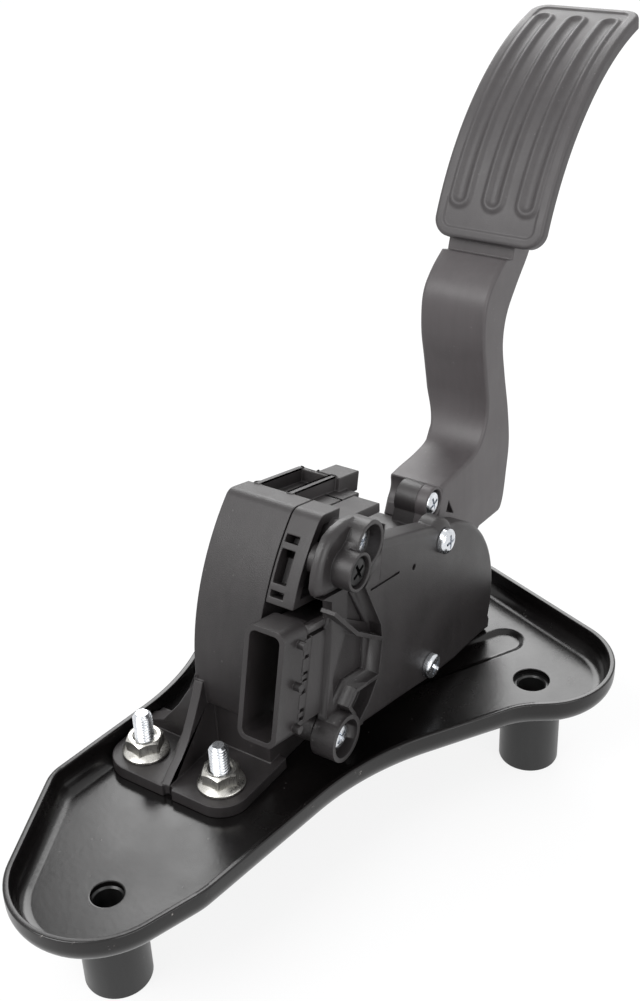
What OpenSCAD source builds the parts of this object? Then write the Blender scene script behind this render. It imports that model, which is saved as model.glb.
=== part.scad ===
// Pedal travel sensor unit: a floor-standing accelerator pedal on a stamped base plate.
// Millimetres. Origin: centre of the front leg's lower face. +Z is up.
// +Y runs along the pedal's pivot shaft, the screwed sensor cover faces -Y,
// the connector socket opens towards -X and the pad is pressed towards +X.

/* [Base plate] */
// Sheet thickness of the plate
sheet_t = 1.8; // [1.5:0.1:3]
// Height of the turned-up rim over the plate's upper face
rim_h = 8; // [5:0.5:14]
// Outer radius of the bend between floor and rim
bend_r = 6.5; // [4:0.5:7.5]
// Radius of the corner lobe round the front leg
front_lobe_r = 25; // [22:0.5:30]
// Radius of the corner lobe round the right leg
right_lobe_r = 25; // [22:0.5:30]
// Radius of the hidden corner lobe round the rear leg
rear_lobe_r = 24; // [21:0.5:30]
// Distance from front leg to right leg along X
right_leg_x = 141; // [125:1:155]
// Distance from front leg to right leg along Y
right_leg_y = -56; // [-66:1:-48]
// Distance from front leg to rear leg along X
rear_leg_x = 150; // [140:1:160]
// Distance from front leg to rear leg along Y
rear_leg_y = 38; // [32:1:46]
// Radius of the hole in the plate over the front leg
front_hole_r = 4.5; // [4.3:0.1:5.5]
// Radius of the larger holes over the right and rear legs
wide_hole_r = 5.6; // [4.5:0.1:6.5]

/* [Legs] */
// Height of each spacer tube
leg_h = 28.2; // [20:0.2:40]
// Outer radius of each spacer tube
leg_r = 9.5; // [8.5:0.1:12]
// Radius of the bolt bore through each spacer tube
leg_bore_r = 4.2; // [3.3:0.1:4.3]

/* [Foot fixings] */
// Distance from the front leg to the two studs along X
stud_x = 47.2; // [46:0.2:49]
// Position of the pair's middle along Y
stud_mid_y = 11; // [10:0.5:12]
// Distance between the two studs
stud_pitch = 28; // [26:0.5:30]
// Stud radius
stud_r = 2.95; // [2.4:0.05:3.2]
// Height of the stud's tip over the plate
stud_h = 18.3; // [16:0.1:24]
// Height of a flange nut
nut_h = 6; // [5:0.5:7]
// Radius of a flange nut's flange
nut_flange_r = 7.1; // [6.4:0.1:7.8]
// Width of a flange nut across its flats
nut_flats = 10; // [9:0.5:11]
// Thickness of the plastic foot under the nuts
foot_t = 4; // [3:0.5:6]

/* [Housing] */
// Pivot shaft position along X
pivot_x = 127; // [125:0.5:129]
// Pivot shaft height
pivot_z = 61; // [60:0.5:62]
// Forward lean of the sensor housing
lean = 13.3; // [12:0.1:14]
// Outer radius of the curved end wall about the pivot
wall_r = 69.3; // [68:0.1:71]
// Wall thickness of the housing
wall_t = 3; // [2:0.1:3.5]
// Outer face of the side wall away from the cover
side_y = 12; // [11:0.5:16]

/* [Sensor cover] */
// Outer face of the cover
cover_y = -32; // [-33:0.5:-30]
// Depth of the cover
cover_d = 7; // [6:0.5:8]
// Screw head radius
head_r = 4; // [3.2:0.1:4.5]
// Screw head height
head_h = 2.6; // [2:0.1:3.2]
// Screw shank radius
screw_r = 1.9; // [1.4:0.05:2.2]
// Radius of the lower ring boss
ring_r = 7.2; // [6.6:0.1:8]
// Radius of the tube round the sunk screw
sunk_tube_r = 5.7; // [5.2:0.1:6]

/* [Connector] */
// Height of the socket over the outside
sock_h = 34.4; // [32:0.2:38]
// Width of the socket over the outside
sock_w = 12.8; // [11.5:0.1:14]
// Wall of the socket
sock_wall = 1.5; // [1.2:0.1:2]
// Depth of the socket
sock_d = 17; // [13:0.5:19]
// Number of contact pins
pins = 6; // [4:1:8]
// Thickness of a contact pin
pin_t = 0.8; // [0.6:0.1:1.5]

/* [Pedal] */
// Width of the pedal arm
arm_w = 23; // [20:0.5:23.5]
// Side of the arm that faces the cover
arm_y = -21; // [-21.5:0.1:-20.5]
// Width of the foot pad
pad_w = 38; // [34:0.5:60]
// Radius of the pad's curved tread
pad_r = 91; // [80:1:100]
// Thickness of the pad
pad_t = 3.6; // [3:0.2:6]
// Height of the raised tread bars
bar_h = 0.8; // [0.4:0.1:1.5]
// Length of the tread bars measured as an angle
bar_angle = 46; // [40:1:50]

/* [Mechanism] */
// Pivot shaft radius
shaft_r = 5; // [4:0.1:6]
// Running clearance on the pivot shaft
run_gap = 0.05; // [0.02:0.01:0.1]
// Outer radius of the shaft bushes
bush_r = 7; // [6.4:0.1:8]
// Position of the return springs along X
spring_x = 86; // [84:0.5:88]
// Height of the lower spring seat
seat_z = 62; // [60:0.5:64]
// Height of the upper spring seat
roof_seat_z = 99; // [96:0.5:100]
// Mean radius of the outer spring
outer_spring_r = 6.2; // [5.6:0.1:6.6]
// Mean radius of the inner spring
inner_spring_r = 3.9; // [3.2:0.1:4.2]
// Wire radius of the outer spring
outer_wire_r = 0.8; // [0.5:0.05:0.9]
// Wire radius of the inner spring
inner_wire_r = 0.55; // [0.4:0.05:0.7]

/* [Hidden] */
$fn = 96;
base_h = 28.2;
plate_z = base_h + sheet_t;
rim_z = plate_z + rim_h;
foot_z = plate_z + foot_t;
front_leg = [0, 0];
right_leg = [right_leg_x, right_leg_y];
rear_leg = [rear_leg_x, rear_leg_y];
stud_ys = [stud_mid_y + stud_pitch / 2, stud_mid_y - stud_pitch / 2];
cover_back = cover_y + cover_d;
chamber_y = 9.4;
chamber_low = -8.4;
wall_low = -10.2;
arm_high = arm_y + arm_w;
side_in = arm_high + 1;
fit_gap = 0.3;
seal_t = 0.8;
foot_bush_r = 5;
plug_r = 3.1;
hair = 0.01;
ring_at = [-53.8, -26.3];
sunk_at = [-58.6, 26.4];
hub_at = [139.4, 85.6];
// Pad tread: centre and end angles of its arc in the X-Z plane
pad_c = [272, 122];
pad_lo = 159.5;
pad_hi = 98.3;
pad_mid_y = -12.2;
pad_corner_r = 6;

// Common placing helpers
// The unit is drawn over legs base_h high, and stands higher or lower with the legs' own height
module raised() {
    translate([0, 0, leg_h - base_h])
        children();
}

// Extrudes an X-Z outline along Y between two positions
module along_y(y0, y1) {
    translate([0, y1, 0])
        rotate([90, 0, 0])
            linear_extrude(y1 - y0)
                children();
}

// Cylinder along Y at an X-Z place
module rod_y(at, r, y0, y1) {
    translate([at[0], y1, at[1]])
        rotate([90, 0, 0])
            cylinder(r = r, h = y1 - y0);
}

// Frame that leans with the sensor housing, origin on the pivot
module leaning() {
    translate([pivot_x, 0, pivot_z])
        rotate([0, lean, 0])
            children();
}

module rounded(w, h, r) {
    square([w - 2 * r, h], center = true);
    square([w, h - 2 * r], center = true);
    for (i = [-1, 1], k = [-1, 1])
        translate([i * (w / 2 - r), k * (h / 2 - r)])
            circle(r);
}

module slot2(len, r) {
    square([len, 2 * r], center = true);
    for (i = [-1, 1])
        translate([i * len / 2, 0])
            circle(r);
}

// Sector of a flat disc between two angles, less than 180 degrees apart
module wedge(r, a0, a1) {
    am = (a0 + a1) / 2;
    intersection() {
        circle(r);
        polygon([[0, 0],
            [2 * r * cos(a0), 2 * r * sin(a0)],
            [3 * r * cos(am), 3 * r * sin(am)],
            [2 * r * cos(a1), 2 * r * sin(a1)]]);
    }
}

// Plate outline
// Each lobe is [x, y, radius]; hollow arcs are cut by large circles outside the plate
lobe_f = [0, 2, front_lobe_r];
lobe_k = [14, -3.4, front_lobe_r - 0.7];
lobe_s = [24, 26.8, 12.6];
lobe_b = [rear_leg_x, rear_leg_y, rear_lobe_r];
lobe_q = [right_leg_x + 17.8, right_leg_y + 44, right_lobe_r + 0.8];
lobe_r = [right_leg_x + 2.3, right_leg_y - 0.5, right_lobe_r - 0.6];
near_r = 0.638 * right_leg_x;
near_arc = [0.309 * right_leg_x, -32.2 - near_r, near_r];
neck_arc = [lobe_r[0] - 39.6, lobe_r[1] - 21.7, 20.5];
far_arc = [66, 111, 75];

// Touch point on circle a of the straight line that leaves it towards circle b.
// The lines run a hair inside both circles, so that every crossing is a clean one
// side is 1 or -1, turn is 1 for an outer and -1 for a crossing line
graze = 0.02;
function touch(a, b, ra, rb, side, turn) =
    let (dx = b[0] - a[0], dy = b[1] - a[1], d = sqrt(dx * dx + dy * dy))
    let (p = ra - graze, q = rb - graze)
    let (k = acos(max(-1, min(1, (p - turn * q) / d))), g = atan2(dy, dx) + side * k)
    [a[0] + p * cos(g), a[1] + p * sin(g)];

module plate_outline(inset) {
    rf = lobe_f[2] - inset;
    rk = lobe_k[2] - inset;
    rs = lobe_s[2] - inset;
    rb = lobe_b[2] - inset;
    rq = lobe_q[2] - inset;
    rr = lobe_r[2] - inset;
    rn = near_arc[2] + inset;
    rm = neck_arc[2] + inset;
    ra = far_arc[2] + inset;
    difference() {
        union() {
            for (c = [[lobe_f, rf], [lobe_k, rk], [lobe_s, rs], [lobe_b, rb], [lobe_q, rq], [lobe_r, rr]])
                translate([c[0][0], c[0][1]])
                    circle(c[1], $fn = 180);
            polygon([
                touch(lobe_f, lobe_k, rf, rk, -1, 1),
                touch(lobe_k, lobe_f, rk, rf, 1, 1),
                touch(lobe_k, near_arc, rk, rn, -1, -1),
                touch(near_arc, lobe_k, rn, rk, -1, -1),
                touch(near_arc, neck_arc, rn, rm, 1, 1),
                touch(neck_arc, near_arc, rm, rn, -1, 1),
                touch(neck_arc, lobe_r, rm, rr, 1, -1),
                touch(lobe_r, neck_arc, rr, rm, 1, -1),
                touch(lobe_r, lobe_q, rr, rq, -1, 1),
                touch(lobe_q, lobe_r, rq, rr, 1, 1),
                touch(lobe_q, lobe_b, rq, rb, -1, 1),
                touch(lobe_b, lobe_q, rb, rq, 1, 1),
                touch(lobe_b, far_arc, rb, ra, -1, -1),
                touch(far_arc, lobe_b, ra, rb, -1, -1),
                touch(far_arc, lobe_s, ra, rs, 1, -1),
                touch(lobe_s, far_arc, rs, ra, 1, -1),
                touch(lobe_s, lobe_f, rs, rf, -1, 1),
                touch(lobe_f, lobe_s, rf, rs, 1, 1)]);
        }
        translate([near_arc[0], near_arc[1]])
            circle(rn, $fn = 360);
        translate([neck_arc[0], neck_arc[1]])
            circle(rm, $fn = 180);
        translate([far_arc[0], far_arc[1]])
            circle(ra, $fn = 360);
    }
}

bend_steps = 5;
bead_a = [104, -11];
bead_b = [156, -39];
bead_r = 5.5;
bead_depth = 1.2;

module bead2(r) {
    d = bead_b - bead_a;
    translate((bead_a + bead_b) / 2)
        rotate(atan2(d[1], d[0]))
            slot2(norm(d), r);
}

module base_plate() {
    raised() color([0.05, 0.05, 0.05])
        difference() {
            union() {
                for (k = [0 : bend_steps - 1]) {
                    a0 = 90 * k / bend_steps;
                    a1 = 90 * (k + 1) / bend_steps;
                    translate([0, 0, base_h + bend_r * (1 - cos(a0))])
                        linear_extrude(bend_r * (cos(a0) - cos(a1)) + 0.4)
                            plate_outline(bend_r * (1 - sin((a0 + a1) / 2)));
                }
                translate([0, 0, base_h + bend_r])
                    linear_extrude(rim_z - base_h - bend_r)
                        plate_outline(0);
                translate([0, 0, base_h - bead_depth])
                    linear_extrude(sheet_t)
                        bead2(bead_r + sheet_t / 2);
            }
            for (k = [0 : bend_steps - 1]) {
                a0 = 90 * k / bend_steps;
                a1 = 90 * (k + 1) / bend_steps;
                ri = bend_r - sheet_t;
                translate([0, 0, plate_z + ri * (1 - cos(a0))])
                    linear_extrude(ri * (cos(a0) - cos(a1)) + hair)
                        plate_outline(sheet_t + ri * (1 - sin((a0 + a1) / 2)));
            }
            translate([0, 0, plate_z + bend_r - sheet_t])
                linear_extrude(rim_h)
                    plate_outline(sheet_t);
            translate([0, 0, plate_z - bead_depth])
                linear_extrude(sheet_t + bead_depth)
                    bead2(bead_r);
            translate([0, 0, base_h - 1])
                cylinder(r = front_hole_r, h = sheet_t + 2);
            for (p = [right_leg, rear_leg])
                translate([p[0], p[1], base_h - 1])
                    cylinder(r = wide_hole_r, h = sheet_t + 2);
        }
}

module leg(p) {
    color([0.06, 0.06, 0.06])
        translate([p[0], p[1], 0])
            difference() {
                cylinder(r = leg_r, h = leg_h);
                translate([0, 0, -1])
                    cylinder(r = leg_bore_r, h = leg_h + 2);
            }
}

module leg_front() leg(front_leg);
module leg_right() leg(right_leg);
module leg_rear() leg(rear_leg);

module studs() {
    raised() color([0.78, 0.79, 0.8])
        for (y = stud_ys)
            translate([stud_x, y, plate_z]) {
                cylinder(r = stud_r, h = stud_h - 0.8);
                translate([0, 0, stud_h - 0.8])
                    cylinder(r1 = stud_r, r2 = stud_r - 0.7, h = 0.8);
            }
}

module flange_nuts() {
    hex_r = nut_flats / 2 / cos(30);
    raised() color([0.7, 0.69, 0.65])
        for (y = stud_ys)
            translate([stud_x, y, foot_z])
                difference() {
                    union() {
                        cylinder(r = nut_flange_r, h = 1.2);
                        translate([0, 0, 1.2])
                            cylinder(r1 = nut_flange_r, r2 = nut_flats / 2 + 0.6, h = 1);
                        rotate([0, 0, 22])
                            intersection() {
                                cylinder(r = hex_r, h = nut_h, $fn = 6);
                                cylinder(r1 = hex_r + 2.4, r2 = hex_r - 0.4, h = nut_h);
                            }
                    }
                    translate([0, 0, -1])
                        cylinder(r = stud_r + run_gap, h = nut_h + 2);
                }
}

module foot_bushes() {
    raised() color([0.6, 0.6, 0.58])
        for (y = stud_ys)
            translate([stud_x, y, plate_z])
                difference() {
                    cylinder(r = foot_bush_r, h = foot_t);
                    translate([0, 0, -1])
                        cylinder(r = stud_r + 0.35, h = foot_t + 2);
                }
}

// Housing outlines
roof_v = 38.5;
pocket_v = 34.5;
rib_v = 38.7;
floor_v = -25.5;
pocket_u = -48;
bay_x = 104;
bay_end_x = 161;

module drum_disc(r) {
    translate([pivot_x, pivot_z])
        circle(r, $fn = 180);
}

module lean2() {
    translate([pivot_x, pivot_z])
        rotate(-lean)
            children();
}

// X-Z region inside the curved end wall, under the roof and over the floor
module body_outline(inset) {
    intersection() {
        union() {
            drum_disc(wall_r - inset);
            translate([pivot_x, plate_z])
                square([bay_end_x - pivot_x, 20]);
        }
        lean2()
            polygon([[-80, floor_v + inset], [13, floor_v + inset], [45, floor_v - 5 + inset],
                [38, 0], [-22, 24], [-22, pocket_v - inset], [pocket_u - inset, pocket_v - inset],
                [pocket_u - inset, roof_v - inset], [-80, roof_v - inset]]);
        translate([40, plate_z])
            square([bay_end_x - 40, 90]);
    }
}

module x_band(x0, x1) {
    translate([x0, 20])
        square([x1 - x0, 110]);
}

// Floor of the arm bay, from the chamber to the open end
module bay_floor(y0, y1) {
    along_y(y0, y1)
        difference() {
            intersection() {
                body_outline(0);
                x_band(bay_x - 4, bay_end_x);
                lean2()
                    translate([-60, -60])
                        square([110, 50]);
            }
            body_outline(wall_t);
        }
    along_y(y0, y1)
        translate([bay_end_x - 22, plate_z])
            square([22, 3.5]);
}

module housing_walls() {
    // Closed spring chamber
    difference() {
        along_y(wall_low, side_y)
            intersection() {
                body_outline(0);
                x_band(40, bay_x);
            }
        along_y(chamber_low, chamber_y)
            intersection() {
                body_outline(wall_t);
                x_band(40, bay_x + 4);
            }
    }
    // Roof over the lever up to the drum
    along_y(wall_low + 0.2, side_y - 0.2)
        lean2()
            translate([-36, pocket_v - wall_t + 0.4])
                square([14.5, wall_t - 0.6]);
    // Far side wall of the arm bay
    along_y(side_in, side_y)
        intersection() {
            body_outline(0);
            x_band(bay_x - 3, bay_end_x);
        }
    bay_floor(wall_low, side_in + 1);
    rod_y([pivot_x, pivot_z], bush_r + 4, side_in, side_y + 3);
    translate([spring_x, 0, roof_seat_z])
        cylinder(r = 8.2, h = 5.4);
    // Bosses for the screws of the cover
    for (k = [0, 3])
        leaning()
            rod_y(cover_screws_at[k], 4.4, wall_low + 0.2, chamber_low + 1.2);
}

// Pocket walls on the roof and the block that steps down to the drum
module roof_ribs() {
    for (y = [7.5, -4])
        along_y(y, y + 2)
            lean2()
                translate([pocket_u - 1, pocket_v - 1])
                    square([23.5, rib_v - pocket_v + 1]);
    along_y(-3, 8.5)
        lean2()
            translate([-26.8, pocket_v - 1.2])
                square([2, rib_v - pocket_v + 1]);
    along_y(-5.5, 3)
        lean2()
            translate([-26, 32.2])
                square([11, 6.4]);
}

module foot_outline() {
    x0 = 37.3;
    x1 = 66;
    y0 = stud_ys[1] - 9.8;
    y1 = stud_ys[0] + 9.8;
    r = 9;
    difference() {
        union() {
            for (y = [y0 + r, y1 - r])
                translate([x0 + r, y])
                    circle(r);
            translate([x0, y0 + r])
                square([r + 1, y1 - y0 - 2 * r]);
            translate([x0 + r, y0])
                square([x1 - x0 - r, y1 - y0]);
        }
        for (y = stud_ys)
            translate([stud_x, y])
                circle(foot_bush_r);
        translate([x0, stud_mid_y - 1.5])
            circle(1.6);
    }
}

module housing_foot() {
    // Foot slab, its lower edge kept clear of the plate's bend
    for (k = [0 : bend_steps - 1]) {
        a0 = 90 * k / bend_steps;
        z0 = (bend_r - sheet_t) * (1 - cos(a0));
        if (z0 < foot_t)
            translate([0, 0, plate_z + z0])
                linear_extrude(foot_t - z0)
                    intersection() {
                        foot_outline();
                        plate_outline(sheet_t + (bend_r - sheet_t) * (1 - sin(a0)) + 0.1);
                    }
    }
    // Web between the studs, in line with the far side wall
    along_y(side_y - 3, side_y)
        polygon([[38.2, foot_z], [41.8, 37.3], [44.8, 39.4], [48.6, 43.8], [51.8, 49],
            [54.9, 54.5], [57, 59], [66, 62], [66, plate_z + 1], [38.2, plate_z + 1]]);
    // Lower wall behind the foot
    along_y(wall_low, side_y)
        polygon([[61.5, plate_z], [66, plate_z], [66, 56], [61.5, 56]]);
    // Stiffener towards the far stud
    translate([57.5, 0, 0])
        rotate([90, 0, 90])
            linear_extrude(5)
                polygon([[side_y - 1, plate_z + 1], [30, plate_z + 1], [34, foot_z + 0.5],
                    [34, foot_z + 0.8], [26.5, 38], [20, 46], [15, 54], [side_y, 61], [side_y - 1, 61]]);
    // Small rib in the corner of web and stiffener
    along_y(side_y - 1, side_y + 6)
        polygon([[50, foot_z - 1], [58.5, foot_z - 1], [58.5, foot_z + 6]]);
    // Ribs that carry the leaning floor on the plate
    for (y = [wall_low, side_y - 2.5])
        along_y(y, y + 2.5)
            intersection() {
                translate([61.5, plate_z])
                    square([84, 26]);
                lean2()
                    translate([-80, floor_v - 40])
                        square([120, 41]);
            }
}

cover_screws_at = [[-51, 31.8], [-6.6, 21.4], [-5.8, -20.3], [-55, -25.6]];

module housing() {
    raised() color([0.13, 0.13, 0.13])
        difference() {
            union() {
                housing_walls();
                roof_ribs();
                housing_foot();
            }
            rod_y([pivot_x, pivot_z], bush_r, side_in - 1, side_y + 4);
            translate([spring_x, 0, roof_seat_z - 1])
                cylinder(r = plug_r, h = 4.5);
            for (k = [0, 3])
                leaning()
                    rod_y(cover_screws_at[k], screw_r, wall_low - 1, chamber_low + 0.4);
        }
}

// Side lid: closes the housing towards the sensor cover
lid_y0 = cover_back + seal_t;
lid_u = -37;
lid_y1 = arm_y - 0.4;
band_y0 = -19.5;
band_v = 13.5;

module cover_outline_small() {
    intersection() {
        union() {
            translate([-0.5, -12.6])
                circle(34.4);
            polygon([[lid_u, floor_v], [0, floor_v], [0, 21.5], [-16.3, 24.6], [lid_u, 27]]);
        }
        translate([lid_u, floor_v])
            square([72, 54]);
        rotate(lean)
            translate([-80, plate_z + 0.3 - pivot_z])
                square([160, 100]);
    }
}

module side_lid() {
    raised() color([0.14, 0.14, 0.14])
        difference() {
            union() {
                // Wall behind the cover
                along_y(lid_y0, lid_y1)
                    lean2()
                        cover_outline_small();
                // Curved band that carries on the end wall and the roof
                difference() {
                    along_y(band_y0, wall_low - 0.3)
                        intersection() {
                            body_outline(0);
                            x_band(40, bay_x + 6);
                            lean2()
                                translate([-80, band_v])
                                    square([64, 40]);
                        }
                    along_y(band_y0 - 1, wall_low)
                        intersection() {
                            body_outline(wall_t);
                            x_band(40, bay_x + 8);
                            lean2()
                                translate([-80, band_v + 2.4])
                                    square([70, 40]);
                        }
                }
                // Web of the band, set back from the chamber wall
                along_y(-15.5, wall_low - 0.3)
                    intersection() {
                        body_outline(0);
                        x_band(40, bay_x);
                        lean2()
                            translate([-80, band_v])
                                square([64, 40]);
                    }
                // Screw pillars
                for (p = [cover_screws_at[0], cover_screws_at[3]])
                    leaning()
                        rod_y(p, 4.4, lid_y0 + 0.1, wall_low - 0.7);
                leaning()
                    rod_y(sunk_at, 4.4, lid_y0 + 0.1, -14);
                // Partition between the connector and the arm bay, and its two arms
                along_y(lid_y0 + 0.4, wall_low - 0.5)
                    lean2() {
                        translate([lid_u + 0.1, floor_v + 0.4])
                            square([2.4, 51]);
                        translate([cover_screws_at[3][0], floor_v + 0.4])
                            square([lid_u + 1 - cover_screws_at[3][0], 2.6]);
                        translate([cover_screws_at[0][0], 26.6])
                            square([lid_u + 1 - cover_screws_at[0][0], 3.2]);
                    }
                bay_floor(lid_y0 + 0.5, wall_low - 0.4);
                rod_y([pivot_x, pivot_z], bush_r + 3, cover_back - 1.2, lid_y1);
            }
            rod_y([pivot_x, pivot_z], bush_r, cover_back - 4, lid_y1 + 1);
            for (p = concat(cover_screws_at, [sunk_at]))
                leaning()
                    rod_y(p, screw_r, lid_y0 - 1, wall_low + 1);
            // Snap windows in the band: [angle, height]
            for (w = [[140, 2.2], [146.5, 9.6], [153, 1.8]])
                translate([pivot_x, 0, pivot_z])
                    rotate([0, -w[0], 0])
                        translate([wall_r - wall_t - 2, -15.6, -w[1] / 2])
                            cube([10, 4.2, w[1]]);
        }
}

// Bushes of the pivot shaft
module far_bush() {
    raised() color([0.62, 0.5, 0.3])
        difference() {
            rod_y([pivot_x, pivot_z], bush_r, side_in, side_y + 3);
            rod_y([pivot_x, pivot_z], shaft_r + run_gap, side_in - 1, side_y + 4);
        }
}

module near_bush() {
    raised() color([0.62, 0.5, 0.3])
        difference() {
            rod_y([pivot_x, pivot_z], bush_r, cover_back - 1.2, lid_y1);
            rod_y([pivot_x, pivot_z], shaft_r + run_gap, cover_back - 3, lid_y1 + 1);
        }
}

// Sensor cover with its connector socket
sock_u = -80;
sock_v = -5;
sock_y = -19.1;
block_u = -69;
block_end = -37.3;
cavity_u = -36.2;
face_t = 2;
ear_r = 6.6;
collar_r = 7.1;
low_y = -28;
rib_t = 1.2;
well_y = -26.6;
plank_y = -25.7;
peg_r = 1.25;
cavity_y0 = cover_y + face_t;

module cover_outline() {
    intersection() {
        union() {
            translate([-0.5, -12.6])
                circle(36.9, $fn = 180);
            polygon([[-59, 38.8], [-53.2, 39], [-43, 35.8], [-42.5, 30.6], [-31.7, 29.3],
                [-16.3, 27.2], [2, 24.2], [20, 10], [37.5, -18], [37.8, -22.4], [30.5, -22.8],
                [22.2, -24], [13.4, -25.6], [-3, -26.6], [-22, -26.4], [-58, -25.2], [-60, 5],
                [-62, 17], [-70.5, 20.5], [-70.2, 27.4], [-68.6, 32.5], [-65, 37]]);
        }
        polygon([[-74, 50], [-40, 50], [40, 26], [40, -22.4], [30.5, -22.8], [22.2, -24],
            [13.4, -25.6], [-3, -26.6], [-22, -26.4], [-74, -25]]);
    }
    translate(ring_at)
        circle(ring_r);
    translate(cover_screws_at[1])
        circle(ear_r);
}

// Part of the face that lies lower, left of the screwed plate
module low_face() {
    polygon([[-80, 50], [-44.5, 50], [-44.5, 30], [-47, 25], [-51.8, 19.9], [-39.8, 4.3], [-38, -1],
        [-37.8, -12.3], [-42, -19.5], [-46.5, -24], [-46.5, -40], [-80, -40]]);
}

module cavity_outline() {
    difference() {
        union() {
            intersection() {
                translate([-0.5, -12.6])
                    circle(33.4, $fn = 180);
                translate([-30, -22.2])
                    square([70, 60]);
            }
            polygon([[cavity_u, 25.6], [-16, 23.2], [0, 20.6], [0, -22.2], [cavity_u, -22.2]]);
        }
        for (p = cover_screws_at)
            translate(p)
                circle(4.4);
    }
}

module socket_tube(w, h, r, u0, u1) {
    translate([u0, sock_y, sock_v])
        rotate([0, 90, 0])
            linear_extrude(u1 - u0)
                rounded(h, w, r);
}

// Upright rib on the low face between two points
module face_rib(a, b) {
    d = b - a;
    translate([0, low_y + 0.5, 0])
        rotate([90, 0, 0])
            linear_extrude(low_y + 0.5 - cover_y)
                translate(a)
                    rotate(atan2(d[1], d[0]))
                        translate([0, -rib_t / 2])
                            square([norm(d), rib_t]);
}

// Plank on the side of the connector block: [low v, high v, length]
module planks() {
    for (p = [[2.9, 7.6, 13.6], [-2.2, 1.8, 13.6], [-4.4, -3.1, 13.6], [-7.5, -5.2, 15.6],
        [-13.4, -9, 13.6], [-16, -14.6, 13.6], [-18.6, -17.2, 15.6]])
        translate([block_u - 1, plank_y, p[0]])
            cube([p[2] + 1, 3, p[1] - p[0]]);
    // Half-round lug over the planks
    translate([block_u, plank_y + 1.2, 10])
        rotate([0, 90, 0])
            cylinder(r = 1.5, h = 10);
}

// Cover body with its stepped face and the well of the upper left screw
module cover_body() {
    difference() {
        union() {
            difference() {
                translate([0, cover_back, 0])
                    rotate([90, 0, 0])
                        linear_extrude(cover_back - cover_y)
                            cover_outline();
                translate([0, low_y, 0])
                    rotate([90, 0, 0])
                        linear_extrude(10)
                            low_face();
            }
            rod_y(cover_screws_at[0], collar_r, cover_y, cover_back - 0.4);
            face_rib([-66.5, 16.2], [-53.1, 6]);
            face_rib([-53.6, 6.2], [-38.4, -0.5]);
            face_rib([-62.6, 20.9], [-51, 19.8]);
            face_rib([-37, -12.5], [-49.7, -12.9]);
            face_rib([-49.3, -12.5], [-53, -17.2]);
            face_rib([-52.9, -16.8], [-48.8, -21.2]);
        }
        // Room for the board
        translate([0, cover_back + 1, 0])
            rotate([90, 0, 0])
                linear_extrude(cover_back + 1 - cavity_y0)
                    cavity_outline();
        // Deep pockets between the ribs
        translate([0, low_y + 1.8, 0])
            rotate([90, 0, 0])
                linear_extrude(3) {
                    polygon([[-54, 17.6], [-52.6, 18], [-41.2, 4.2], [-52.6, 9]]);
                    polygon([[-52.4, 4.4], [-40.2, -1], [-39.6, -11], [-50, -11.2], [-55.6, -17],
                        [-57, -8]]);
                }
        // Well of the upper left screw
        rod_y(cover_screws_at[0], collar_r - 1.4, cover_y - 3, well_y);
    }
}

module sensor_cover() {
    raised() color([0.12, 0.12, 0.12])
        leaning()
            difference() {
                union() {
                    cover_body();
                    // Tube round the sunk screw and ring boss
                    difference() {
                        rod_y(sunk_at, sunk_tube_r, cover_y - 2, cover_back - 0.6);
                        rod_y(cover_screws_at[0], head_r + 0.5, cover_y - 0.4, well_y);
                    }
                    rod_y(ring_at, ring_r, cover_y - 0.6, cover_back);
                    // Solid root of the socket
                    translate([block_u, sock_y - 5.4, -19])
                        cube([block_end - block_u, 11.6, 28]);
                    translate([block_u + 2, cover_y + 6, -18])
                        cube([12, 8, 26]);
                    // Socket, its root collar, side pegs and planks
                    socket_tube(sock_w, sock_h, 3, sock_u, block_u);
                    socket_tube(sock_w - 2, sock_h - 2.4, 2.4, block_u, block_u + 3.5);
                    for (p = [[-72.8, 7.4], [-72.8, -5], [-71.3, -18.3]])
                        rod_y(p, peg_r, sock_y - sock_w / 2 - 2.2, sock_y - sock_w / 2 + 1);
                    planks();
                }
                // Room for the plug
                socket_tube(sock_w - 2 * sock_wall, sock_h - 2 * sock_wall, 2, sock_u - 1, sock_u + sock_d);
                // Recesses of the ring boss and the sunk screw
                rod_y(ring_at, ring_r - 1.4, cover_y - 3, cover_y + head_h + 0.4);
                rod_y(sunk_at, sunk_tube_r - 1.1, cover_y - 4, cover_y + 0.8);
                rod_y(sunk_at, screw_r, cover_y - 4, cover_back + 1);
                for (p = cover_screws_at)
                    rod_y(p, screw_r, cover_y - 4, cover_back + 1);
                // Narrow slot and blind hole in the face
                translate([-48.3, cover_y - 1, 17.2])
                    rotate([0, -3, 0])
                        cube([16, 1.8, 0.8]);
                rod_y([-23.7, 17.5], 1, cover_y - 1, cover_y + 1);
                contact_legs();
            }
}

// Gasket between cover and lid
module cover_seal() {
    raised() color([0.05, 0.05, 0.05])
        along_y(cover_back, lid_y0)
            lean2()
                difference() {
                    intersection() {
                        cover_outline_small();
                        translate([lid_u + 0.3, floor_v])
                            square([100, 60]);
                    }
                    cavity_outline();
                    for (p = cover_screws_at)
                        translate(p)
                            circle(screw_r + 0.3);
                }
}

// Contact pins: blade in the socket, step through the cover and tail through the board
pin_pitch = 4.4;
pin_depth = 9;
pin_turn = -38.3;
pin_step_y = -26.6;
pin_end = -34.4;

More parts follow.
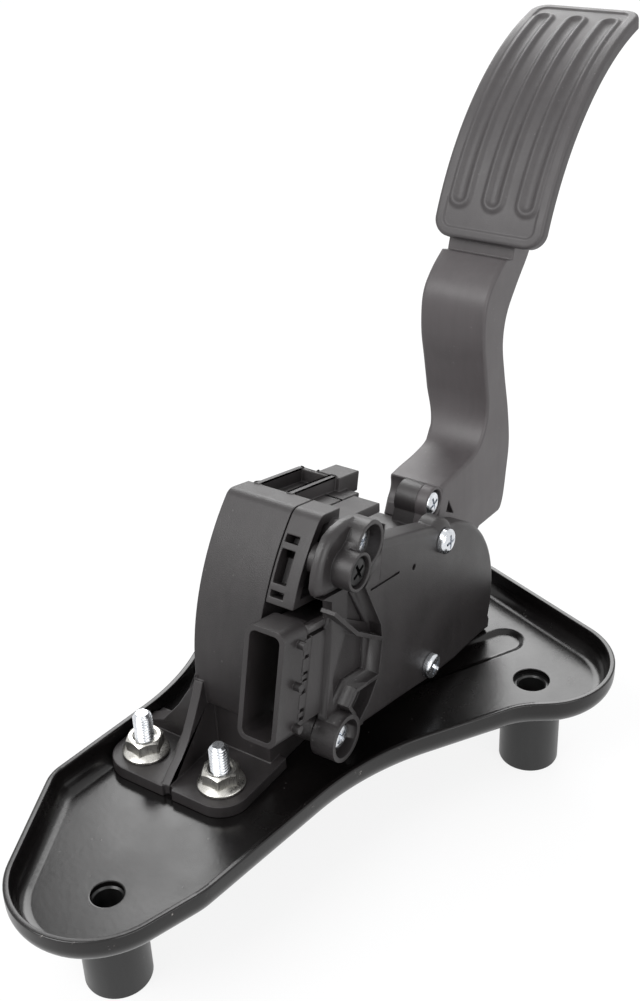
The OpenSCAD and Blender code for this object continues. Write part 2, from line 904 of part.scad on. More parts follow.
module contact_legs() {
    for (k = [0 : pins - 1])
        translate([0, 0, sock_v + (k - (pins - 1) / 2) * pin_pitch - pin_t / 2]) {
            // Blade in the socket
            translate([sock_u + pin_depth, sock_y - pin_t / 2, 0])
                cube([pin_turn - sock_u - pin_depth, pin_t, pin_t]);
            // Step towards the cover's face
            translate([pin_turn - pin_t, pin_step_y, 0])
                cube([pin_t, sock_y + pin_t / 2 - pin_step_y, pin_t]);
            // Run into the board's room
            translate([pin_turn - pin_t, pin_step_y, 0])
                cube([pin_end - pin_turn + pin_t, pin_t, pin_t]);
            // Tail through the board
            translate([pin_end - pin_t, board_y0 - 0.8, 0])
                cube([pin_t, pin_step_y + pin_t - board_y0 + 0.8, pin_t]);
        }
}

module contact_pins() {
    raised() color([0.8, 0.78, 0.7])
        leaning()
            contact_legs();
}

// Circuit board that reads the target on the shaft's end
board_y0 = cavity_y0 + 0.8;
board_t = 1.2;
board_end = 22.7;

module circuit_board() {
    raised() color([0.05, 0.3, 0.15])
        leaning()
            difference() {
                translate([cavity_u + 0.3, board_y0, -18])
                    cube([board_end - cavity_u - 0.3, board_t, 34]);
                for (p = cover_screws_at)
                    rod_y(p, 5, board_y0 - 1, board_y0 + 3);
                contact_legs();
                translate([16, board_y0 - 1, 10])
                    cube([10, 4, 10]);
            }
}

module board_parts() {
    raised() color([0.03, 0.03, 0.03])
        leaning()
            for (p = [[-26, 4], [-14, -9], [12, -8], [-30, -9], [13, 3]])
                translate([p[0] - 3, board_y0 + board_t, p[1] - 2.5])
                    cube([6, 1.2, 5]);
}

// Moving group: arm, lever, shaft, target, pad
cheek_y = -17.2;
boss_y = -9.8;
boss_r = 5.5;
hub_r = 20;
web_half = 4;
hub_screw_r = 2.2;

module hub_plan(r) {
    translate([pivot_x, pivot_z])
        circle(r);
}

// Hub, screw boss and the web between them, grown by a gap
module lever_plan(gap) {
    d = hub_at - [pivot_x, pivot_z];
    hub_plan(hub_r + gap);
    translate(hub_at)
        circle(boss_r + gap);
    translate([pivot_x, pivot_z])
        rotate(atan2(d[1], d[0]))
            translate([hub_r / 2, -web_half - gap])
                square([norm(d) - hub_r / 2, 2 * (web_half + gap)]);
}

function spline_at(a, b, c, d, t) =
    0.5 * (2 * b + (c - a) * t + (2 * a - 5 * b + 4 * c - d) * t * t + (3 * b - 3 * c + d - a) * t * t * t);

function spline(p, n) = [for (i = [1 : len(p) - 3], k = [0 : n - 1])
    spline_at(p[i - 1], p[i], p[i + 1], p[i + 2], k / n)];

arm_front = [[138, 88.7], [144.5, 88.9], [150, 89.3], [160, 89.6], [168, 91.2], [173, 96.5],
    [174.6, 104], [172.8, 116], [170.8, 128], [171.9, 139.5], [177.6, 146.4], [188, 152.6], [198, 158]];
arm_rear = [[190.8, 153.2], [195.8, 162.5], [206, 158], [202, 148.3], [193.6, 139.4],
    [187.2, 131.5], [185.1, 122.5], [187, 111], [190.3, 97], [192, 84], [190.6, 73.4], [188.2, 62.8], [184, 59.4], [172, 60.6]];

module arm_outline() {
    polygon(concat(spline(arm_front, 6), spline(arm_rear, 6),
        [[171, 60.6], [151, 47.5], [138, 42.6], [131, 58], [143.5, 84]]));
}

module pedal_arm() {
    raised() color([0.11, 0.11, 0.11])
        difference() {
            union() {
                // Shank clear of the lever, a little narrower at its foot
                difference() {
                    along_y(arm_y, arm_high)
                        difference() {
                            arm_outline();
                            lever_plan(fit_gap);
                        }
                    translate([100, 0, 0])
                        rotate([90, 0, 90])
                            linear_extrude(100)
                                polygon([[arm_high + 1, 106.5], [arm_high, 106], [foot_y, 91],
                                    [foot_y, 30], [arm_high + 1, 30]]);
                }
                // Cheek that carries the screw
                along_y(arm_y, cheek_y) {
                    lever_plan(0);
                    arm_outline();
                }
                // Carrier under the pad
                along_y(pad_mid_y - 12, pad_mid_y + 12)
                    translate(pad_c)
                        difference() {
                            wedge(pad_r - pad_t - 0.15, 112, 158);
                            circle(pad_r - pad_t - 6);
                        }
            }
            rod_y([pivot_x, pivot_z], shaft_r, arm_y - 1, cheek_y + 1);
            rod_y(hub_at, hub_screw_r, arm_y - 1, cheek_y + 1);
            rod_y(hub_at, hub_head_r, arm_y - 1, arm_y + head_h);
            // Seat of the pad
            along_y(arm_y - 9, arm_high + 9)
                translate(pad_c)
                    difference() {
                        wedge(pad_r + 8, 140, pad_lo);
                        circle(pad_r - pad_t - 0.15, $fn = 180);
                    }
            // Triangular notch beside the screw
            along_y(arm_y - 1, arm_y + 2)
                polygon([[148.9, 82.2], [147.2, 78.8], [152.2, 75.8]]);
        }
}

hub_head_r = 4.5;
foot_y = -2;
lever_half = 7.9;
lever_floor_z = 57.5;

module drive_lever() {
    raised() color([0.16, 0.16, 0.16])
        difference() {
            union() {
                along_y(cheek_y, boss_y)
                    lever_plan(0);
                along_y(cheek_y, arm_high)
                    hub_plan(hub_r);
                // Lever towards the springs
                along_y(-lever_half, arm_high)
                    polygon([[127, 43], [108, 49.5], [95, 52.4], [80, 53.6], [66.5, 56.4], [66.5, 64],
                        [72.5, 64], [75, lever_floor_z], [97, lever_floor_z], [110, 72], [127, 78]]);
                along_y(-lever_half, lever_half)
                    polygon([[97, 52.6], [80, 53.6], [66.5, 56.4], [66.5, 64], [72.5, 64],
                        [75, lever_floor_z], [97, lever_floor_z]]);
            }
            rod_y([pivot_x, pivot_z], shaft_r, cheek_y - 1, side_y);
            rod_y(hub_at, hub_screw_r, cheek_y - 1, boss_y - 1);
            // Open saddle for the spring cup's rocker
            rod_y([spring_x, cup_z], 2.5 + run_gap, -9, 9);
            along_y(-9, 9)
                translate([spring_x, cup_z])
                    polygon([[-2.4, 0.6], [2.4, 0.6], [4.2, 3], [-4.2, 3]]);
        }
}

module pivot_shaft() {
    raised() color([0.7, 0.71, 0.72])
        difference() {
            union() {
                rod_y([pivot_x, pivot_z], shaft_r, cover_back - 0.2, side_y + 5.2);
                rod_y([pivot_x, pivot_z], 2.6, cover_back - 2.2, cover_back);
            }
            difference() {
                rod_y([pivot_x, pivot_z], shaft_r + 1, side_y + 3.4, side_y + 4.4);
                rod_y([pivot_x, pivot_z], shaft_r - 0.7, side_y + 3, side_y + 5);
            }
        }
}

module shaft_clip() {
    raised() color([0.3, 0.3, 0.31])
        difference() {
            rod_y([pivot_x, pivot_z], shaft_r + 1.8, side_y + 3.4, side_y + 4.4);
            rod_y([pivot_x, pivot_z], shaft_r - 0.7, side_y + 3, side_y + 5);
            along_y(side_y + 3, side_y + 5)
                translate([pivot_x, pivot_z - 10])
                    square([5, 20], center = true);
        }
}

module target_rotor() {
    raised() color([0.75, 0.6, 0.35])
        difference() {
            rod_y([pivot_x, pivot_z], 7.5, cover_back - 2.2, cover_back - 1.5);
            rod_y([pivot_x, pivot_z], 2.6, cover_back - 3, cover_back);
        }
}

module hub_screw() {
    raised() color([0.75, 0.76, 0.77])
        difference() {
            union() {
                rod_y(hub_at, head_r, arm_y, arm_y + head_h);
                rod_y(hub_at, hub_screw_r, arm_y + 2, boss_y - 1.2);
            }
            rod_y(hub_at, 1.7, arm_y - 1, arm_y + 1.6);
        }
}

// How far each cover screw's head lies behind the cover's face, measured to its seat
head_seats = [well_y - cover_y, 0, 0, head_h + 0.4];

module cover_screws() {
    raised() color([0.8, 0.81, 0.82])
        leaning()
            for (k = [0 : 3]) {
                p = cover_screws_at[k];
                seat = cover_y + head_seats[k];
                tip = (k == 0 || k == 3) ? chamber_low - 0.6 : lid_y1 - 0.2;
                difference() {
                    union() {
                        rod_y(p, head_r, seat - head_h, seat);
                        rod_y(p, screw_r, seat - 1, tip);
                    }
                    rod_y(p, 1.5, seat - head_h - 1, seat - head_h + 1.5);
                }
            }
}

module sunk_screw() {
    raised() color([0.06, 0.06, 0.06])
        leaning()
            difference() {
                union() {
                    rod_y(sunk_at, sunk_tube_r - 1.3, cover_y - 1.4, cover_y + 0.8);
                    rod_y(sunk_at, screw_r, cover_y, -17.5);
                }
                rod_y(sunk_at, 1.5, cover_y - 2, cover_y - 0.2);
            }
}

module pad() {
    low_z = pad_c[1] + (pad_r - pad_t) * sin(pad_lo);
    end_x = pad_c[0] + pad_r * cos(pad_hi);
    raised() color([0.04, 0.04, 0.04]) {
        intersection() {
            along_y(pad_mid_y - pad_w / 2, pad_mid_y + pad_w / 2)
                translate(pad_c)
                    difference() {
                        wedge(pad_r, pad_hi, pad_lo);
                        circle(pad_r - pad_t, $fn = 180);
                    }
            // Rounded lower corners
            translate([100, pad_mid_y, low_z - 0.5 + 100])
                rotate([90, 0, 90])
                    linear_extrude(200)
                        rounded(pad_w, 200, pad_corner_r);
            // Rounded upper corners
            translate([end_x - 100, pad_mid_y, 100])
                linear_extrude(200)
                    rounded(200, pad_w, pad_corner_r);
        }
        // Tread bars
        for (k = [-1, 0, 1])
            translate([0, pad_mid_y + k * 11.6, 0]) {
                along_y(-4.2, -0.9)
                    tread_arc();
                along_y(0.9, 4.2)
                    tread_arc();
            }
    }
}

module tread_arc() {
    am = (pad_lo + pad_hi) / 2 - 0.5;
    translate(pad_c)
        difference() {
            wedge(pad_r + bar_h, am - bar_angle / 2, am + bar_angle / 2);
            circle(pad_r - 0.5, $fn = 180);
        }
}

// Springs and stops
cup_z = 56;
shoe_gap = 0.1;

module friction_shoe() {
    raised() color([0.2, 0.18, 0.15])
        along_y(-lever_half, lever_half)
            intersection() {
                translate([pivot_x, pivot_z])
                    difference() {
                        circle(wall_r - wall_t - shoe_gap, $fn = 180);
                        circle(61, $fn = 180);
                    }
                translate([55, 56.6])
                    square([11.5, 7.2]);
            }
}

module spring_cup() {
    raised() color([0.2, 0.2, 0.2])
        translate([spring_x, 0, 0]) {
            translate([0, 0, seat_z - 2])
                cylinder(r = 7.9, h = 2);
            translate([0, 0, seat_z - 1])
                cylinder(r = 2.8, h = 4);
            translate([-1.6, -6, cup_z])
                cube([3.2, 12, seat_z - cup_z - 1]);
            rod_y([0, cup_z], 2.5, -6, 6);
        }
}

// Round wire wound to a helix, as a swept eight-sided tube
module coil(mean_r, wire_r, z0, z1, turns, steps) {
    sides = 8;
    n = turns * steps;
    rise = (z1 - z0 - 2 * wire_r) / n;
    points = [for (i = [0 : n], s = [0 : sides - 1])
        let (a = i * 360 / steps, b = s * 360 / sides, r = mean_r + wire_r * cos(b))
        [r * cos(a), r * sin(a), z0 + wire_r + i * rise + wire_r * sin(b)]];
    sheath = [for (i = [0 : n - 1], s = [0 : sides - 1])
        let (t = (s + 1) % sides)
        [i * sides + s, i * sides + t, (i + 1) * sides + t, (i + 1) * sides + s]];
    caps = [[for (s = [sides - 1 : -1 : 0]) s], [for (s = [0 : sides - 1]) n * sides + s]];
    polyhedron(points = points, faces = concat(caps, [for (f = sheath) [f[3], f[2], f[1], f[0]]]));
}

module outer_spring() {
    raised() color([0.55, 0.55, 0.56])
        translate([spring_x, 0, 0])
            coil(outer_spring_r, outer_wire_r, seat_z, roof_seat_z, 7, 24);
}

module inner_spring() {
    raised() color([0.6, 0.6, 0.6])
        translate([spring_x, 0, 0])
            coil(inner_spring_r, inner_wire_r, seat_z, roof_seat_z, 9, 20);
}

module spring_plug() {
    raised() color([0.2, 0.2, 0.2])
        translate([spring_x, 0, 0]) {
            translate([0, 0, roof_seat_z - 0.9])
                cylinder(r = plug_r, h = 4.4);
            translate([0, 0, roof_seat_z - 4])
                cylinder(r = 2.8, h = 4);
        }
}

module rest_stop() {
    raised() color([0.03, 0.03, 0.03])
        along_y(-6, 6)
            intersection() {
                translate([81, 44])
                    square([9, 8.6]);
                lean2()
                    translate([-80, floor_v + wall_t])
                        square([90, 30]);
            }
}

module end_stop() {
    raised() color([0.03, 0.03, 0.03])
        translate([149, -5, plate_z + 3.5])
            cylinder(r = 5, h = 7.4);
}

base_plate();
leg_front();
leg_right();
leg_rear();
studs();
flange_nuts();
foot_bushes();
housing();
side_lid();
far_bush();
near_bush();
sensor_cover();
cover_seal();
contact_pins();
circuit_board();
board_parts();
target_rotor();
cover_screws();
sunk_screw();
pedal_arm();
drive_lever();
pivot_shaft();
shaft_clip();
hub_screw();
pad();
friction_shoe();
spring_cup();
outer_spring();
inner_spring();
spring_plug();
rest_stop();
end_stop();
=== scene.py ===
"""Looks of the pedal travel sensor unit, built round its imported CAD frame.

Lengths in the making code are millimetres in the frame of the CAD model, and mesh_of() turns
them into metres. X runs from the plug socket to the pedal, Y along the pivot shaft, Z up.
"""

import math

import bmesh
import bpy
from mathutils import Matrix, Vector, geometry


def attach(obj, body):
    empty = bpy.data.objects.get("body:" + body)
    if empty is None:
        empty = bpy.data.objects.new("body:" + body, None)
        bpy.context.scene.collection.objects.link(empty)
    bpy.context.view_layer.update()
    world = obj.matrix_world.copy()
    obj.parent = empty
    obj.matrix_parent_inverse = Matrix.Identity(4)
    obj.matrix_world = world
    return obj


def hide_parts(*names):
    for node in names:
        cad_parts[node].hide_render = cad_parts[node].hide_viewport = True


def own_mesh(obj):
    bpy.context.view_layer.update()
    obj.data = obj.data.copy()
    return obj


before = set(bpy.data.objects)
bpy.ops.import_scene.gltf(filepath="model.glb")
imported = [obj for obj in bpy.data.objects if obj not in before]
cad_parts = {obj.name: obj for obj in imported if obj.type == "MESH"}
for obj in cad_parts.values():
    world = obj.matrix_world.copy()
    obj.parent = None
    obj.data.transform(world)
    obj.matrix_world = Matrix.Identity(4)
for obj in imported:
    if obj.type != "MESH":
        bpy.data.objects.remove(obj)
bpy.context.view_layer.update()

bl_info = {
    "name": "Pedal travel sensor",
    "version": (1, 0, 0),
    "blender": (4, 5, 0),
    "location": "View3D > Sidebar > Pedal",
    "description": "Builds the looks of a floor pedal with its travel sensor",
    "category": "Add Mesh",
}

MM = 0.001
# Pivot shaft in X and Z, and how far the sensor housing leans forward
PIVOT = (127.0, 61.0)
LEAN = math.radians(13.3)
# Underside, thickness and top of the plate's sheet, top of its rim, and top of the plastic foot
FLOOR_Z = 28.2
SHEET_T = 1.8
PLATE_Z = FLOOR_Z + SHEET_T
RIM_Z = 38.0
FOOT_Z = 34.0
STUDS = [(47.2, 25.0), (47.2, -3.0)]
LEGS = [(0.0, 0.0), (141.0, -56.0), (150.0, 38.0)]
HOLE_RADII = [4.5, 5.6, 5.6]
COVER_Y = -32.0
# Place of each bright cover screw and how far its seat lies behind the cover's face
COVER_SCREWS = [(-51.0, 31.8, 5.4), (-6.6, 21.4, 0.0), (-5.8, -20.3, 0.0), (-55.0, -25.6, 3.0)]
SUNK_SCREW = (-58.6, 26.4)
HUB_SCREW = (139.4, 85.6)
HEAD_H = 2.6
# Points nearer than this, in metres, are one point
SAME_POINT = 0.000002

MATERIALS = {}
GROUPS = {}


# Geometry in millimetres

def leaned(u, y, v):
    """A point of the leaning sensor housing, from its own u and v to the frame."""
    c, s = math.cos(LEAN), math.sin(LEAN)
    return (PIVOT[0] + u * c + v * s, y, PIVOT[1] - u * s + v * c)


def upright(a, y, b):
    """A point of an outline that stands in the X-Z plane."""
    return (a, y, b)


class Shape:
    """Vertices and faces of one piece while it is being made."""

    def __init__(self):
        self.verts = []
        self.faces = []

    def add(self, verts, faces):
        start = len(self.verts)
        self.verts += [tuple(v) for v in verts]
        self.faces += [tuple(start + i for i in f) for f in faces]

    def loops(self, loops, closed=False, caps=True):
        """Joins equally long rings of points with quads, and closes both ends."""
        n = len(loops[0])
        faces = []
        count = len(loops)
        for k in range(count if closed else count - 1):
            a, b = k * n, ((k + 1) % count) * n
            faces += [(a + i, a + (i + 1) % n, b + (i + 1) % n, b + i) for i in range(n)]
        if caps and not closed:
            faces.append(tuple(range(n - 1, -1, -1)))
            faces.append(tuple(range((count - 1) * n, count * n)))
        self.add([p for loop in loops for p in loop], faces)


def linked(name, data):
    """A new object in the scene."""
    made = bpy.data.objects.new(name, data)
    bpy.context.scene.collection.objects.link(made)
    return made


def baked(holder):
    """The plain mesh of an object with its modifiers applied; the object goes."""
    graph = bpy.context.evaluated_depsgraph_get()
    mesh = bpy.data.meshes.new_from_object(holder.evaluated_get(graph), depsgraph=graph)
    bpy.data.objects.remove(holder)
    return mesh


def edited(mesh, edit):
    """Hands a mesh to an editing function and writes the result back."""
    work = bmesh.new()
    work.from_mesh(mesh)
    edit(work)
    work.to_mesh(mesh)
    work.free()
    return mesh


def mesh_of(shape, name, weld=0.0005):
    """A closed mesh of a shape, in metres, with its faces outwards."""
    mesh = bpy.data.meshes.new(name)
    mesh.from_pydata([Vector(v) * MM for v in shape.verts], [], shape.faces)

    def close(work):
        bmesh.ops.remove_doubles(work, verts=work.verts, dist=weld * MM)
        bmesh.ops.recalc_face_normals(work, faces=work.faces)

    return edited(mesh, close)


def own(name, mesh, body, slot_name, replaces, sharp=32.0):
    """Puts a mesh in the scene as a piece of the object, in its slot's finish."""
    mesh.name = name
    mesh.materials.clear()
    mesh.materials.append(MATERIALS[slot_name])
    mesh.polygons.foreach_set("use_smooth", [True] * len(mesh.polygons))
    mesh.set_sharp_from_angle(angle=math.radians(sharp))
    piece = linked(name, mesh)
    flat = piece.modifiers.new("flat_faces", "WEIGHTED_NORMAL")
    flat.keep_sharp = True
    flat.weight = 100
    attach(piece, body)
    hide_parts(*replaces)
    return piece


def inset_loop(outline, d):
    """The closed outline moved inwards by d, with mitred corners. It runs left-handed round its middle."""
    n = len(outline)
    moved = []
    for i in range(n):
        a, b, c = outline[i - 1], outline[i], outline[(i + 1) % n]
        e0 = Vector((b[0] - a[0], b[1] - a[1])).normalized()
        e1 = Vector((c[0] - b[0], c[1] - b[1])).normalized()
        n0, n1 = Vector((-e0.y, e0.x)), Vector((-e1.y, e1.x))
        mid = n0 + n1
        if mid.length < 1e-6:
            mid = n0
        mid.normalize()
        reach = d / max(0.5, mid.dot(n0))
        moved.append((b[0] + mid.x * reach, b[1] + mid.y * reach))
    return moved


def quarter(count):
    """1 less the sine and 1 less the cosine at even steps of a quarter turn."""
    turns = [math.radians(90 * k / count) for k in range(count + 1)]
    return [(1 - math.sin(a), 1 - math.cos(a)) for a in turns]


def bar(outline, y0, y1, round0=0.0, round1=0.0, place=upright, steps=4):
    """A bar along Y with a rounded edge at either end; y0 and y1 may depend on the outline's point."""
    if sum(p[0] * q[1] - q[0] * p[1] for p, q in zip(outline, outline[1:] + outline[:1])) < 0:
        outline = outline[::-1]
    low = y0 if callable(y0) else lambda p: y0
    high = y1 if callable(y1) else lambda p: y1
    loops = []
    for radius, base, sign in ((round0, low, 1), (round1, high, -1)):
        ends = []
        for aside, along in quarter(steps) if radius > 0 else [(0.0, 0.0)]:
            edge = inset_loop(outline, radius * aside)
            rise = radius * along * sign
            ends.append([place(q[0], base(p) + rise, q[1]) for p, q in zip(outline, edge)])
        loops += ends if sign > 0 else ends[::-1]
    shape = Shape()
    shape.loops(loops)
    return mesh_of(shape, "bar")


def bar_leaned(outline, y0, y1, round0=0.0, steps=5):
    """A bar along Y in the leaning frame, with a rounded near end."""
    return bar(outline, y0, y1, round0, 0.0, leaned, steps)


def round_point(centre, r, angle):
    """A point of a circle, at an angle in radians."""
    return (centre[0] + r * math.cos(angle), centre[1] + r * math.sin(angle))


def ring(x, y, z, r, count=48):
    """Points of a level circle."""
    return [(*round_point((x, y), r, 2 * math.pi * i / count), z) for i in range(count)]


def turned(profile, count=48):
    """A turned body round Z; the profile is a list of (radius, z)."""
    shape = Shape()
    shape.loops([ring(0, 0, z, r, count) for r, z in profile])
    return mesh_of(shape, "turned")


def turned_y(centre, profile, count=48, place=upright):
    """A turned body round an axis along Y; the profile is a list of (radius, y)."""
    loops = []
    for r, y in profile:
        circle = [round_point(centre, r, 2 * math.pi * i / count) for i in range(count)]
        loops.append([place(a, y, b) for a, b in circle])
    shape = Shape()
    shape.loops(loops)
    return mesh_of(shape, "turned")


def arc_points(centre, r, a0, a1, count):
    """Points of an arc between two angles in degrees, both ends included."""
    return [round_point(centre, r, math.radians(a0 + (a1 - a0) * i / (count - 1))) for i in range(count)]


def spline(points, count):
    """A smooth line through the inner ones of the given points."""
    made = []
    for i in range(1, len(points) - 2):
        a, b, c, d = (Vector(p) for p in points[i - 1 : i + 3])
        for k in range(count):
            t = k / count
            square = (2 * a - 5 * b + 4 * c - d) * t**2
            cube = (3 * b - 3 * c + d - a) * t**3
            made.append(tuple(0.5 * (2 * b + (c - a) * t + square + cube)))
    return made


def fill_flat(shape, loops, z, upwards):
    """Fills the first loop of a level face, leaving out the others."""
    points = [Vector(p[:2]) for loop in loops for p in loop]
    edges = []
    start = 0
    for loop in loops:
        n = len(loop)
        edges += [(start + i, start + (i + 1) % n) for i in range(n)]
        start += n
    verts, _, faces, _, _, _ = geometry.delaunay_2d_cdt(points, edges, [], 0, 1e-6)

    def inside(p, loop):
        hit = False
        for a, b in zip(loop, loop[1:] + loop[:1]):
            crosses = (a[1] > p.y) != (b[1] > p.y)
            if crosses and p.x < (b[0] - a[0]) * (p.y - a[1]) / (b[1] - a[1]) + a[0]:
                hit = not hit
        return hit

    kept = []
    for f in faces:
        mid = sum((verts[i] for i in f), Vector((0, 0))) / len(f)
        if inside(mid, loops[0]) and not any(inside(mid, hole) for hole in loops[1:]):
            kept.append(tuple(f) if upwards else tuple(reversed(f)))
    shape.add([(v.x, v.y, z) for v in verts], kept)


# Materials

def new_group(name, inputs, outputs):
    """An empty shader node group with named sockets: (name, kind, default)."""
    tree = bpy.data.node_groups.new(name, "ShaderNodeTree")
    for label, kind, default in inputs:
        socket = tree.interface.new_socket(label, in_out="INPUT", socket_type=kind)
        if default is not None:
            socket.default_value = default
    for label, kind in outputs:
        tree.interface.new_socket(label, in_out="OUTPUT", socket_type=kind)
    return tree, tree.nodes.new("NodeGroupInput"), tree.nodes.new("NodeGroupOutput")


def feed(tree, socket, value):
    """Sets an input to a number, or links it to another node's output."""
    if isinstance(value, (int, float)):
        socket.default_value = value
    elif value is not None:
        tree.links.new(value, socket)


def add_math(tree, operation, a, b=None, c=None, clamp=False):
    """A Math node whose inputs are sockets or numbers."""
    node = tree.nodes.new("ShaderNodeMath")
    node.operation = operation
    node.use_clamp = clamp
    for i, value in enumerate((a, b, c)):
        feed(tree, node.inputs[i], value)
    return node.outputs[0]


def add_noise(tree, vector, scale, detail=2.0, rough=0.5):
    """A Noise Texture whose scale may be a socket."""
    node = tree.nodes.new("ShaderNodeTexNoise")
    for label, value in (("Detail", detail), ("Roughness", rough), ("Scale", scale), ("Vector", vector)):
        feed(tree, node.inputs[label], value)
    return node.outputs["Fac"]


def add_range(tree, value, low, high, to_low=0.0, to_high=1.0):
    """A clamped Map Range node."""
    node = tree.nodes.new("ShaderNodeMapRange")
    ends = (("From Min", low), ("From Max", high), ("To Min", to_low), ("To Max", to_high))
    for label, number in (("Value", value), *ends):
        feed(tree, node.inputs[label], number)
    return node.outputs["Result"]


def grain_group():
    """Fine leather-like grain of moulded plastic, and the cloudy change in its gloss."""
    tree, ins, outs = new_group(
        "moulded_grain",
        [
            ("Vector", "NodeSocketVector", None),
            ("Grain Size", "NodeSocketFloat", 0.0004),
            ("Cloud Size", "NodeSocketFloat", 0.02),
        ],
        [("Height", "NodeSocketFloat"), ("Cloud", "NodeSocketFloat")],
    )
    fine = add_math(tree, "DIVIDE", 1.0, ins.outputs["Grain Size"])
    wide = add_math(tree, "DIVIDE", 1.0, ins.outputs["Cloud Size"])
    pits = tree.nodes.new("ShaderNodeTexVoronoi")
    tree.links.new(ins.outputs["Vector"], pits.inputs["Vector"])
    tree.links.new(fine, pits.inputs["Scale"])
    speck = add_noise(tree, ins.outputs["Vector"], fine, 3.0, 0.6)
    height = add_math(tree, "MULTIPLY_ADD", pits.outputs["Distance"], 0.6, speck)
    tree.links.new(height, outs.inputs["Height"])
    tree.links.new(add_noise(tree, ins.outputs["Vector"], wide, 5.0, 0.6), outs.inputs["Cloud"])
    return tree


def streak_group():
    """Long flow marks that plastic shows along the way it filled the mould."""
    tree, ins, outs = new_group(
        "flow_marks",
        [("Vector", "NodeSocketVector", None), ("Stretch", "NodeSocketVector", (400.0, 400.0, 25.0))],
        [("Mark", "NodeSocketFloat")],
    )
    stretch = tree.nodes.new("ShaderNodeVectorMath")
    stretch.operation = "MULTIPLY"
    tree.links.new(ins.outputs["Vector"], stretch.inputs[0])
    tree.links.new(ins.outputs["Stretch"], stretch.inputs[1])
    tree.links.new(add_noise(tree, stretch.outputs[0], 1.0, 4.0, 0.6), outs.inputs["Mark"])
    return tree


def dust_group():
    """Sparse light specks and faint smears from handling."""
    tree, ins, outs = new_group(
        "dust_and_smears",
        [("Vector", "NodeSocketVector", None), ("Amount", "NodeSocketFloat", 0.5)],
        [("Speck", "NodeSocketFloat"), ("Smear", "NodeSocketFloat")],
    )
    dots = tree.nodes.new("ShaderNodeTexVoronoi")
    dots.inputs["Scale"].default_value = 420.0
    tree.links.new(ins.outputs["Vector"], dots.inputs["Vector"])
    near = add_range(tree, dots.outputs["Distance"], 0.05, 0.16, 1.0, 0.0)
    rare = add_range(tree, add_noise(tree, ins.outputs["Vector"], 160.0, 1.0), 0.58, 0.66)
    speck = add_math(tree, "MULTIPLY", near, rare)
    tree.links.new(add_math(tree, "MULTIPLY", speck, ins.outputs["Amount"]), outs.inputs["Speck"])
    smear = add_range(tree, add_noise(tree, ins.outputs["Vector"], 38.0, 6.0, 0.65), 0.42, 0.7)
    tree.links.new(add_math(tree, "MULTIPLY", smear, ins.outputs["Amount"]), outs.inputs["Smear"])
    return tree


def group(name):
    """The shared node group of that name, built once."""
    if name not in GROUPS:
        GROUPS[name] = {"grain": grain_group, "streak": streak_group, "dust": dust_group}[name]()
    return GROUPS[name]


def begin_material(name, metallic=0.0, level=0.5):
    """A material with its shader and the object's own coordinates."""
    material = bpy.data.materials.new(name)
    material.use_nodes = True
    tree = material.node_tree
    shader = tree.nodes["Principled BSDF"]
    shader.inputs["Metallic"].default_value = metallic
    shader.inputs["Specular IOR Level"].default_value = level
    where = tree.nodes.new("ShaderNodeTexCoord").outputs["Object"]
    return material, tree, shader, where


def use_group(tree, name, where, **values):
    """Places a shared group in a material with its own values."""
    node = tree.nodes.new("ShaderNodeGroup")
    node.node_tree = group(name)
    tree.links.new(where, node.inputs["Vector"])
    for label, value in values.items():
        node.inputs[label.replace("_", " ")].default_value = value
    return node


def mix_colors(tree, factor, a, b):
    """A colour between a and b by a factor."""
    node = tree.nodes.new("ShaderNodeMix")
    node.data_type = "RGBA"
    tree.links.new(factor, node.inputs[0])
    for socket, value in ((node.inputs[6], a), (node.inputs[7], b)):
        if isinstance(value, (tuple, list)):
            socket.default_value = (*value[:3], 1.0)
        else:
            tree.links.new(value, socket)
    return node.outputs[2]


def bump(tree, shader, height, distance, soft=0.0):
    """Feeds a height to the shader's normal; soft is the radius of the edge rounding in metres."""
    node = tree.nodes.new("ShaderNodeBump")
    node.inputs["Distance"].default_value = distance
    tree.links.new(height, node.inputs["Height"])
    if soft:
        edge = tree.nodes.new("ShaderNodeBevel")
        edge.samples = 6
        edge.inputs["Radius"].default_value = soft
        tree.links.new(edge.outputs[0], node.inputs["Normal"])
    tree.links.new(node.outputs[0], shader.inputs["Normal"])


def plastic(name, color, light, rough, grain=0.00035, depth=0.00004, soft=0.0):
    """Moulded plastic: grain, cloudy gloss, flow marks and a little dust."""
    material, tree, shader, where = begin_material(name)
    skin = use_group(tree, "grain", where, Grain_Size=grain, Cloud_Size=0.018)
    marks = use_group(tree, "streak", where)
    dirt = use_group(tree, "dust", where, Amount=0.4)
    cloud, smear = skin.outputs["Cloud"], dirt.outputs["Smear"]
    tone = add_math(tree, "MULTIPLY_ADD", marks.outputs["Mark"], 0.5, add_math(tree, "MULTIPLY", cloud, 0.5))
    base = mix_colors(tree, add_range(tree, tone, 0.35, 0.65), color, light)
    specks = add_math(tree, "MULTIPLY", dirt.outputs["Speck"], 0.35)
    tree.links.new(mix_colors(tree, specks, base, (0.35, 0.34, 0.33)), shader.inputs["Base Color"])
    gloss = add_range(tree, cloud, 0.3, 0.7, rough - 0.06, rough + 0.06)
    tree.links.new(add_math(tree, "MULTIPLY_ADD", smear, 0.08, gloss), shader.inputs["Roughness"])
    bump(tree, shader, skin.outputs["Height"], depth, soft)
    return material


